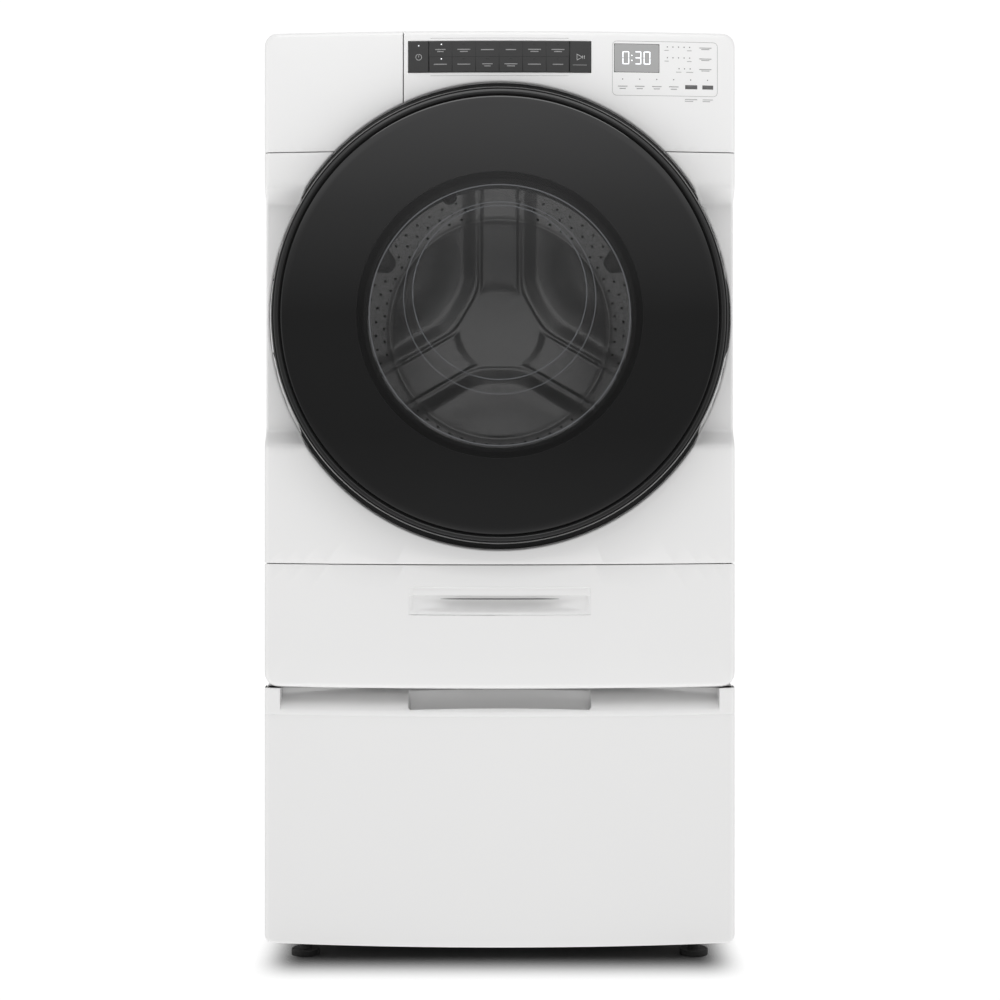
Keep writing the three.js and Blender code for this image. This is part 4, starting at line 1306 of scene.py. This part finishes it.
def drawer_profile(x, kind):
    """The points of one upright section, from the bottom return to the top return."""
    edge = HALF - abs(x)
    y0 = bow_y(x)
    if edge < EDGE_ROLL:
        y0 += EDGE_ROLL - math.sqrt(max(EDGE_ROLL**2 - (EDGE_ROLL - edge) ** 2, 0))
    y0 = min(y0, RETURN_Y - 1 * MM)
    points = [Vector((x, RETURN_Y, FOOT_Z))]
    points += [Vector((x, y0 + back * MM, FOOT_Z + up * MM)) for back, up in UPRIGHT_LOW]
    points += [Vector((x, y0 + back * MM, BEAD + up * MM)) for back, up in UPRIGHT_HIGH]
    if kind == "cheek":
        rise = SLOPE_TOP - BEAD
        high = [Vector((x, y0, BEAD - 1 * MM + (rise + 3 * MM) * k / 17)) for k in range(17)]
        high += [Vector((x, y0 + 0.8 * MM, SLOPE_TOP + 2.9 * MM))]
    else:
        high = [Vector((0, y0 + 0.3 * MM, BEAD - 0.9 * MM)), Vector((0, y0 + 1.1 * MM, BEAD))]
        if kind == "pocket":
            front = (POCKET_FRONT - y0) / LEAN
            back = (POCKET_BACK - y0) / LEAN
            rim, end = slope_point(y0, front), slope_point(y0, back)
            high += [slope_point(y0, front * 0.6), slope_point(y0, front - 0.012)]
            high += [
                Vector((0, POCKET_FRONT + y * MM, z)) for y, z in (
                    (0.5, rim.z - 0.4 * MM), (0.9, rim.z - 2 * MM), (1.5, POCKET_FLOOR + 8 * MM),
                    (4, POCKET_FLOOR + 2 * MM), (9, POCKET_FLOOR), (26, POCKET_FLOOR),
                    (34, POCKET_FLOOR + 3 * MM), (37, POCKET_FLOOR + 9 * MM),
                    (38, end.z - 14 * MM), (39, end.z - 2 * MM), (39.6, end.z - 0.4 * MM),
                    (40.4, end.z),
                )
            ]
            high.append(slope_point(y0, min(back + 0.03, 0.985)))
        else:
            high += [slope_point(y0, share) for share in SLOPE_SHARES]
        high += [slope_point(y0, 1)]
        for point in high:
            point.x = x
    return points + high + [Vector((x, RETURN_Y, SLOPE_TOP))]


def drawer_columns():
    edge = [0, 0.45, 1.6, 3.4, 5.6, 8, 12, 17]
    outer = [(HALF - e * MM, "cheek") for e in edge] + [(CHEEK, "cheek")]
    slope = [(CHEEK - 0.6 * MM, "slope")]
    slope += [(CHEEK - (CHEEK - POCKET) * k / 14, "slope") for k in range(1, 15)]
    middle = [((POCKET - 3.4 * MM) * (1 - k / 12), "pocket") for k in range(13)]
    right = [*outer, *slope, *middle]
    left = [(-x, kind) for x, kind in right[:-1]]
    return left + right[::-1]


columns = [drawer_profile(x, kind) for x, kind in drawer_columns()]


def drawer_place(column, row):
    point = column[row].copy()
    x, z, edge = round_corner_at(point.x, point.z, HALF, FOOT_Z, DRAWER_CORNER)
    if edge is not None and point.y < RETURN_Y - 0.5 * MM:
        roll = 5 * MM
        if edge < roll:
            point.y = max(
                point.y,
                bow_y(x) + roll - math.sqrt(max(roll**2 - (roll - max(edge, 0)) ** 2, 0)),
            )
    return Vector((x, min(point.y, RETURN_Y), z))


def round_corner_at(x, z, half, low, radius):
    """Rounds the two bottom corners of an outline. edge is None away from them."""
    a = (abs(x) - half + radius) / radius
    b = (low + radius - z) / radius
    if a <= 0 or b <= 0:
        return x, z, None
    a, b = a * math.sqrt(1 - b * b / 2), b * math.sqrt(1 - a * a / 2)
    edge = radius * (1 - math.hypot(a, b))
    return math.copysign(half - radius + a * radius, x), low + radius - b * radius, edge


front = grid_of(columns, range(len(columns[0])), drawer_place)
sides = [e for e in front.edges if e.is_boundary and all(abs(v.co.x) > HALF - 1e-5 for v in e.verts)]
out = bmesh.ops.extrude_edge_only(front, edges=sides)["geom"]
for vert in (g for g in out if isinstance(g, bmesh.types.BMVert)):
    vert.co.y = RETURN_Y
bmesh.ops.remove_doubles(front, verts=front.verts, dist=1e-6)
bmesh.ops.dissolve_degenerate(front, dist=1e-6, edges=front.edges)
face_front(front)
inverted = [
    f for f in front.faces
    if abs(f.calc_center_median().x) > HALF - 0.1 * MM and f.normal.x * f.calc_center_median().x < 0
]
bmesh.ops.reverse_faces(front, faces=inverted)
thicken(
    piece("drawer_shell", front, "pedestal_drawer", "white_paint", replaces=["pedestal_drawer_front"]),
    1.2 * MM,
)

# %% [markdown]
# ## The drum
# The drum's back is a pressed sheet: three raised lobes leave a flat star with arms at twelve,
# four and eight o'clock, which run out over a flared edge to the wall. The wall and the flared
# edge are pierced with rows of small holes. Each hole is a thin dark disc laid on the metal, since
# cutting a thousand real holes would cost far more faces than the eye could tell. The dark of each
# disc is painted shade, standing in for the unlit space behind a real hole.

# %% Drum wall and pressed back
drum_low, drum_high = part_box("drum")
DRUM_RADIUS = drum_high.x
DRUM_FRONT, DRUM_BACK = drum_low.y, drum_high.y
ARM_HALF = 29 * MM
HUB_RADIUS = 55 * MM
DISC_RADIUS = 188 * MM
CONE_RADIUS = 265 * MM
CONE_RISE = 30 * MM


def smooth_low(a, b, reach):
    """The smaller of two values, with a soft change from one to the other."""
    share = min(max(0.5 + 0.5 * (b - a) / reach, 0), 1)
    return b * (1 - share) + a * share - reach * share * (1 - share)


def back_depth(x, z):
    """How far the pressed back stands forward of its flat star."""
    radius = math.hypot(x, z)
    outside = radius - HUB_RADIUS
    for k in range(3):
        angle = math.pi / 2 - k * math.tau / 3
        along = x * math.cos(angle) + z * math.sin(angle)
        across = abs(x * math.sin(angle) - z * math.cos(angle))
        if along > 0:
            outside = smooth_low(outside, across - ARM_HALF, 30 * MM)
    rim = soft((CONE_RADIUS - 12 * MM - radius) / (14 * MM))
    crease = 3.2 * MM * soft(outside / (4 * MM)) - 1.6 * MM * soft((outside - 6 * MM) / (4 * MM))
    lobe = 10 * MM * soft((outside - 8 * MM) / (30 * MM))
    lobe -= 4 * MM * soft((outside - 34 * MM) / (60 * MM))
    step = 3 * MM * soft((82 * MM - radius) / (16 * MM)) * (1 - soft(outside / (4 * MM)))
    groove = 1.2 * MM * soft(1 - abs(radius - DISC_RADIUS) / (6 * MM))
    return max(crease + lobe, 0) * rim + step - groove


def cone_rise(radius):
    """How far the flared edge of the back stands forward of the flat disc."""
    share = (radius - DISC_RADIUS) / (CONE_RADIUS - DISC_RADIUS)
    return CONE_RISE * max(share, 0)


def wall_profile():
    r = DRUM_RADIUS / MM
    front, back = (DRUM_FRONT - EDGE_Y) / MM, (DRUM_BACK - EDGE_Y) / MM
    inside = [(252, back - 3, 1), (r - 9, back - 3, 5), (r - 2.5, back - 9, 5)]
    inside += [(r - 2.5, front + 12, 3), (r - 9, front + 4, 5), (204, front + 4, 2)]
    outside = [(201, front + 2, 1), (204, front, 1.5), (r - 7, front, 5), (r, front + 8, 5)]
    outside += [(r, back - 6, 5), (r - 6, back, 4), (252, back, 1)]
    return fillet([*inside, *outside])


piece("drum_wall", spun(wall_profile(), 120), "spinner", "stainless", replaces=["drum"])

back_disc = bmesh.new()
bmesh.ops.create_circle(back_disc, cap_ends=True, radius=24 * MM, segments=360)
bmesh.ops.transform(back_disc, matrix=upright, verts=back_disc.verts)
for vert in back_disc.verts:
    vert.co.y = DRUM_BACK - 3 * MM - back_depth(0, 0)
edges = [e for e in back_disc.edges if e.is_boundary]
radii = [30, *range(34, 80, 2), *range(82, 130, 3), *range(130, 166, 3)]
radii += [*range(166, 200, 2), *range(200, 254, 3), 256, 260, 266]
for radius in radii:
    def back_point(angle, radius=radius):
        x, z = radius * MM * math.cos(angle), radius * MM * math.sin(angle)
        y = DRUM_BACK - 3 * MM - back_depth(x, z) - cone_rise(radius * MM)
        return Vector((x, y, DOOR_Z + z))
    edges = extrude_ring(back_disc, edges, back_point)
face_front(back_disc)
thicken(piece("drum_back", back_disc, "spinner", "stainless", replaces=["drum"]), 1.5 * MM)

# %% Holes in the drum wall: dark discs of painted shade
hole_shade_discs = bmesh.new()
HOLE_RADIUS = 2.4 * MM
ROWS, AROUND = 18, 72
for row in range(ROWS):
    y = DRUM_FRONT + 30 * MM + row * (DRUM_BACK - DRUM_FRONT - 56 * MM) / (ROWS - 1)
    for k in range(AROUND):
        angle = (k + 0.5 * (row % 2)) * math.tau / AROUND
        turn = Matrix.Rotation(-angle, 4, "Y") @ Matrix.Translation((DRUM_RADIUS - 2.7 * MM, 0, 0))
        place = Matrix.Translation((0, y, DOOR_Z)) @ turn @ Matrix.Rotation(-math.pi / 2, 4, "Y")
        bmesh.ops.create_circle(
            hole_shade_discs, cap_ends=True, radius=HOLE_RADIUS, segments=8, matrix=place
        )
CONE_HOLES = 56
slope = math.atan2(CONE_RISE, CONE_RADIUS - DISC_RADIUS)
for row, radius in enumerate((198 * MM, 212 * MM, 226 * MM, 240 * MM)):
    for k in range(CONE_HOLES):
        angle = (k + 0.5 * (row % 2)) * math.tau / CONE_HOLES
        x, z = radius * math.cos(angle), radius * math.sin(angle)
        arm_angle = (angle - math.pi / 2 + math.pi / 3) % (math.tau / 3) - math.pi / 3
        if abs(radius * math.sin(arm_angle)) < ARM_HALF + 22 * MM:
            continue
        y = DRUM_BACK - 3.3 * MM - back_depth(x, z) - cone_rise(radius)
        lean = Matrix.Translation((radius, 0, 0)) @ Matrix.Rotation(-slope, 4, "Z")
        place = Matrix.Translation((0, y, DOOR_Z)) @ Matrix.Rotation(-angle, 4, "Y") @ lean
        bmesh.ops.create_circle(
            hole_shade_discs, cap_ends=True, radius=HOLE_RADIUS, segments=10,
            matrix=place @ Matrix.Translation((0, -0.4 * MM, 0)) @ Matrix.Rotation(math.pi / 2, 4, "X"),
        )
# the discs' black finish is painted shade for the dark inside each hole
thicken(piece("drum_hole_shade", hole_shade_discs, "spinner", "black_plastic"), 0.1 * MM)

# %% [markdown]
# ## Springs
# Each spring is a wire circle that is spun about its own upright axis and rises with every step.

# %% Suspension springs
def coil(low, high, radius, wire, turns, per_turn=20):
    centre = (low + high) / 2
    bm = bmesh.new()
    bmesh.ops.create_circle(bm, cap_ends=True, radius=wire, segments=8)
    start = Matrix.Translation((centre.x + radius, centre.y, low.z + wire))
    start @= Matrix.Rotation(math.pi / 2, 4, "X")
    bmesh.ops.transform(bm, matrix=start, verts=bm.verts)
    steps = turns * per_turn
    rise = (high.z - low.z - 2 * wire) / steps
    bmesh.ops.spin(
        bm, geom=bm.verts[:] + bm.edges[:] + bm.faces[:], cent=centre, axis=(0, 0, 1),
        dvec=(0, 0, rise), angle=math.tau * turns, steps=steps,
    )
    bmesh.ops.recalc_face_normals(bm, faces=bm.faces)
    return bm


for word in ("left", "right"):
    low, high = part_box(f"suspension_spring_{word}")
    high.z -= 8 * MM  # the tub can rise this far before its springs meet the top panel
    spring = coil(low, high, 10.2 * MM, 1.7 * MM, 26)
    piece(f"coil_spring_{word}", spring, "tub", "spring_steel", replaces=[f"suspension_spring_{word}"])

# %% [markdown]
# ## The remaining parts
# The other parts keep the shape of the CAD model. Each gets a copy with its vertices merged, its
# flat faces joined and its edges softened by a small bevel, and its own finish.


# %% Refined copies
SLOT_OF = {part["node"]: part["material_slot"] for part in frame["record"]["subparts"]}


def refine(node, width, segments=2, angle=38, name=None):
    source = frame["nodes"][node]
    bm = bmesh.new()
    bm.from_mesh(source.data)
    bmesh.ops.remove_doubles(bm, verts=bm.verts, dist=0.02 * MM)
    bmesh.ops.dissolve_limit(
        bm, angle_limit=math.radians(1.0), verts=bm.verts, edges=bm.edges, delimit={"NORMAL"}
    )
    bm.normal_update()
    folds = [e for e in bm.edges if e.is_manifold and e.calc_face_angle(0) > math.radians(angle)]
    if width and folds:
        bmesh.ops.bevel(
            bm, geom=folds, offset=width * MM, offset_type="OFFSET", affect="EDGES",
            segments=segments, profile=0.5, material=-1, clamp_overlap=True,
        )
    bmesh.ops.recalc_face_normals(bm, faces=bm.faces)
    body = source["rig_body"]
    made = piece(name or f"{node}_body", bm, body, SLOT_OF[node], replaces=[node], sharp=34)
    level = made.modifiers.new("flat faces", "WEIGHTED_NORMAL")
    level.keep_sharp = True
    return made


WIDTHS = {
    "left_side_panel": 1.0, "right_side_panel": 1.0, "top_panel": 1.0, "rear_panel": 0.8,
    "rear_access_cover": 0.6, "base_pan": 0.8, "control_board": 0.3, "dispenser_housing": 0.8,
    "water_inlet_valve": 0.8, "cord_gland": 0.8, "door_lock": 1.0, "hinge_bracket": 0.8,
    "drain_pump": 1.2, "drain_filter_cap": 1.0, "damper_cylinder_left": 0.8,
    "damper_cylinder_right": 0.8, "tub_front": 1.2, "tub_rear": 1.2, "counterweight": 3.0,
    "heater": 0.6, "drum_bearing": 0.5, "motor_stator": 0.8, "damper_rod_left": 0.8,
    "damper_rod_right": 0.8, "drum_spider": 2.0, "motor_rotor": 0.8, "lifter_1": 5.0,
    "lifter_2": 5.0, "lifter_3": 5.0, "door_hinge_arm": 0.8, "door_latch_hook": 0.8,
    "dispenser_tray": 0.6, "pedestal_frame": 0.8, "pedestal_foot_1": 1.2, "pedestal_foot_2": 1.2,
    "pedestal_foot_3": 1.2, "pedestal_foot_4": 1.2, "slide_outer_left": 0.6,
    "slide_outer_right": 0.6, "slide_middle_left": 0.6, "slide_middle_right": 0.6,
    "pedestal_drawer_box": 0.8,
}
for node, width in WIDTHS.items():
    refine(node, width, 3 if width > 1.5 else 2)
left_over = [n for n, o in frame["nodes"].items() if not o.hide_render]
for node in left_over:
    mesh = frame["nodes"][node].data
    mesh.materials.clear()
    mesh.materials.append(LOOKS[SLOT_OF[node]])
print("CAD parts that keep their own mesh:", left_over)

# %% [markdown]
# ## The back
# The rear sheet is stiffened by pressed ribs and held, like its round cover, by screws with a
# flange under a hexagonal head. Each rib is a sphere whose halves are moved apart, each screw a
# short cone with a hexagon on it.


# %% Pressed ribs
REAR_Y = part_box("rear_panel")[1].y
RIB_SIZE = 9 * MM


def pressed_rib(x0, x1, z):
    rib = bmesh.new()
    bmesh.ops.create_uvsphere(rib, u_segments=24, v_segments=12, radius=RIB_SIZE)
    for vert in rib.verts:
        shift = x1 if vert.co.x > 0 else x0
        vert.co = (vert.co.x + shift, REAR_Y + vert.co.y * 0.35, vert.co.z + z)
    return rib


for number, z in enumerate((0.47, 0.53, 0.59, 0.65), 1):
    piece(f"rear_rib_{number}", pressed_rib(-0.23, 0.23, z), "cabinet", "galvanised")

# %% Flanged screws
HEAD_RADIUS, FLANGE_RADIUS = 4.2 * MM, 6.5 * MM


def add_screw(bm, x, y, z):
    upright_screw = Matrix.Translation((x, y, z)) @ Matrix.Rotation(-math.pi / 2, 4, "X")
    for radius, top, depth, sides in (
        (FLANGE_RADIUS, HEAD_RADIUS + 0.8 * MM, 1.4 * MM, 24), (HEAD_RADIUS, HEAD_RADIUS, 4 * MM, 6),
    ):
        bmesh.ops.create_cone(
            bm, cap_ends=True, segments=sides, radius1=radius, radius2=top, depth=depth,
            matrix=upright_screw @ Matrix.Translation((0, 0, depth / 2 - 0.3 * MM)),
        )


screws = bmesh.new()
for side in (-1, 1):
    for z in (0.44, 0.62, 0.80, 0.98, 1.16, 1.30):
        add_screw(screws, side * (HALF - 0.022), REAR_Y, z)
for k in range(8):
    angle = (k + 0.5) * math.tau / 8
    add_screw(screws, 0.168 * math.cos(angle), REAR_Y + 3 * MM, DOOR_Z + 0.168 * math.sin(angle))
piece("rear_screws", screws, "cabinet", "spring_steel", sharp=30)

# %% [markdown]
# ## Camera, floor and light
# A level product shot from about three metres, with a long lens. The surroundings are white, and
# most of the light comes up from a bright studio floor, so the undersides stay light and the gap
# under the washer stays grey. One broad soft light hangs above the front.

# %% Camera
CAMERA_AWAY = 3.1
CAMERA_HIGH = 0.8276
VIEW_WIDTH = 1.457  # metres across the picture at the plane of the front's side edges
camera_data = bpy.data.cameras.new("camera")
camera = bpy.data.objects.new("camera", camera_data)
scene.collection.objects.link(camera)
camera.location = (0, EDGE_Y - CAMERA_AWAY, CAMERA_HIGH)
camera.rotation_euler = (math.pi / 2, 0, 0)
camera_data.sensor_width = 36
camera_data.lens = 36 * CAMERA_AWAY / VIEW_WIDTH
camera_data.shift_y = -0.1
camera_data.shift_x = 0.0003
scene.camera = camera

# %% Floor: a dark mat that fades out, painted shadow under the machine


def soft_edge(tree, value, start, end):
    edge = tree.nodes.new("ShaderNodeMapRange")
    edge.interpolation_type = "SMOOTHERSTEP"
    edge.inputs["From Min"].default_value = start
    edge.inputs["From Max"].default_value = end
    edge.inputs["To Min"].default_value = 1.0
    edge.inputs["To Max"].default_value = 0.0
    tree.links.new(math_node(tree, "ABSOLUTE", value, 0.0), edge.inputs["Value"])
    return edge.outputs["Result"]


# The mat's dark colour is painted shadow under and in front of the machine. Its alpha falls off with
# distance from the centre, so the white surroundings show beyond it.
LOOKS["floor"] = finish(
    "painted floor shadow", "coat", grey(0.10), grey(0.09), 0, coat_values(40, 0.8, 0.9, 2)
)
floor_shadow_tree = LOOKS["floor"].node_tree
floor_place = floor_shadow_tree.nodes.new("ShaderNodeTexCoord")
floor_split = floor_shadow_tree.nodes.new("ShaderNodeSeparateXYZ")
floor_shadow_tree.links.new(floor_place.outputs["Object"], floor_split.inputs["Vector"])
# painted shadow fade: full under the machine, none past its edges
painted_shadow_fade = math_node(
    floor_shadow_tree, "MULTIPLY", soft_edge(floor_shadow_tree, floor_split.outputs["X"], 0.285, 0.38),
    soft_edge(floor_shadow_tree, floor_split.outputs["Y"], 0.235, 0.408),
)
floor_shadow_tree.links.new(painted_shadow_fade, floor_shadow_tree.nodes["Principled BSDF"].inputs["Alpha"])
floor_shadow_tree.nodes["Principled BSDF"].inputs["Specular IOR Level"].default_value = 0.0
floor_bm = bmesh.new()
bmesh.ops.create_grid(floor_bm, x_segments=8, y_segments=8, size=0.6)
floor_mesh = bpy.data.meshes.new("floor")
floor_bm.to_mesh(floor_mesh)
floor_bm.free()
floor_mesh.materials.append(LOOKS["floor"])
floor = bpy.data.objects.new("floor", floor_mesh)
scene.collection.objects.link(floor)

# %% Area lights
def area(name, place, aim, width, height, watts, glossy=True):
    data = bpy.data.lights.new(name, "AREA")
    data.shape = "RECTANGLE"
    data.size, data.size_y, data.energy = width, height, watts
    lamp_object = bpy.data.objects.new(name, data)
    scene.collection.objects.link(lamp_object)
    lamp_object.location = place
    direction = Vector(aim) - Vector(place)
    lamp_object.rotation_euler = direction.to_track_quat("-Z", "Y").to_euler()
    lamp_object.visible_glossy = glossy


GLOW_Y, GLOW_Z = EDGE_Y + 0.155, DOOR_Z - 0.07
area("overhead", (0, -1.9, 3.6), (0, -0.2, 0.8), 3.0, 2.0, 33)
area("front_fill", (0, -5.6, 1.6), (0, 0, 0.7), 4.5, 2.6, 37, glossy=False)
area("drum_glow", (0, GLOW_Y, GLOW_Z), (0, EDGE_Y + 0.5, GLOW_Z), 0.36, 0.34, 0.24)
area("drum_top", (0, EDGE_Y + 0.17, DOOR_Z + 0.2), (0, EDGE_Y + 0.55, DOOR_Z + 0.05), 0.3, 0.04, 0.03)

# %% [markdown]
# The surroundings are seen in three ways, and each has its own brightness. The camera sees white.
# A gloss sees a studio that is dark at eye level and bright above, below and at the sides, which
# draws the soft edges on the door. Matt light comes mostly from below, as from a white floor.

# %% Surroundings
MIRRORED = (
    (0.0, 1.0), (0.3, 0.24), (0.43, 0.1), (0.52, 0.12), (0.6, 0.4), (0.67, 0.8), (1.0, 1.0),
)
SOFT = ((0.0, 1.8), (0.36, 1.4), (0.47, 0.3), (0.56, 0.1), (0.8, 0.25), (1.0, 1.3))

world = bpy.data.worlds.new("studio")
scene.world = world
world.use_nodes = True
sky = world.node_tree
sky.nodes.clear()
direction = sky.nodes.new("ShaderNodeTexCoord")
split = sky.nodes.new("ShaderNodeSeparateXYZ")
sky.links.new(direction.outputs["Generated"], split.inputs["Vector"])
height = sky.nodes.new("ShaderNodeMapRange")  # 0 straight down, 0.5 level, 1 straight up
height.inputs["From Min"].default_value = -1
sky.links.new(split.outputs["Z"], height.inputs["Value"])
sides = sky.nodes.new("ShaderNodeMapRange")
sides.interpolation_type = "SMOOTHSTEP"
sides.inputs["From Min"].default_value = 0.45
sides.inputs["From Max"].default_value = 0.9
sides.inputs["To Max"].default_value = 1.1
sky.links.new(math_node(sky, "ABSOLUTE", split.outputs["X"], 0.0), sides.inputs["Value"])


def surroundings(stops, side_share, strength, blue=1.0):
    """A background whose brightness follows the height of the direction, and lighter sides."""
    ramp = sky.nodes.new("ShaderNodeValToRGB")
    while len(ramp.color_ramp.elements) < len(stops):
        ramp.color_ramp.elements.new(0.5)
    for element, (position, value) in zip(ramp.color_ramp.elements, stops):
        element.position = position
        element.color = (value, value, value * blue, 1)
    sky.links.new(height.outputs["Result"], ramp.inputs["Fac"])
    lighter = sky.nodes.new("ShaderNodeMix")
    lighter.data_type = "RGBA"
    lighter.blend_type = "LIGHTEN"
    lighter.inputs["Factor"].default_value = side_share
    sky.links.new(ramp.outputs["Color"], lighter.inputs["A"])
    sky.links.new(sides.outputs["Result"], lighter.inputs["B"])
    background = sky.nodes.new("ShaderNodeBackground")
    background.inputs["Strength"].default_value = strength
    sky.links.new(lighter.outputs["Result"], background.inputs["Color"])
    return background.outputs["Background"]


def choose(ray, otherwise, when):
    mixer = sky.nodes.new("ShaderNodeMixShader")
    sky.links.new(light_path.outputs[ray], mixer.inputs["Fac"])
    sky.links.new(otherwise, mixer.inputs[1])
    sky.links.new(when, mixer.inputs[2])
    return mixer.outputs["Shader"]


light_path = sky.nodes.new("ShaderNodeLightPath")
seen = sky.nodes.new("ShaderNodeBackground")
seen.inputs["Color"].default_value = (1, 1, 1, 1)
seen.inputs["Strength"].default_value = 1.05
diffuse = surroundings(SOFT, 0.6, 0.96)
mirrored = surroundings(MIRRORED, 1.0, 0.9, blue=1.01)
lit = choose("Is Glossy Ray", diffuse, mirrored)
output = sky.nodes.new("ShaderNodeOutputWorld")
sky.links.new(choose("Is Camera Ray", lit, seen.outputs["Background"]), output.inputs["Surface"])
scene.view_settings.view_transform = "Standard"
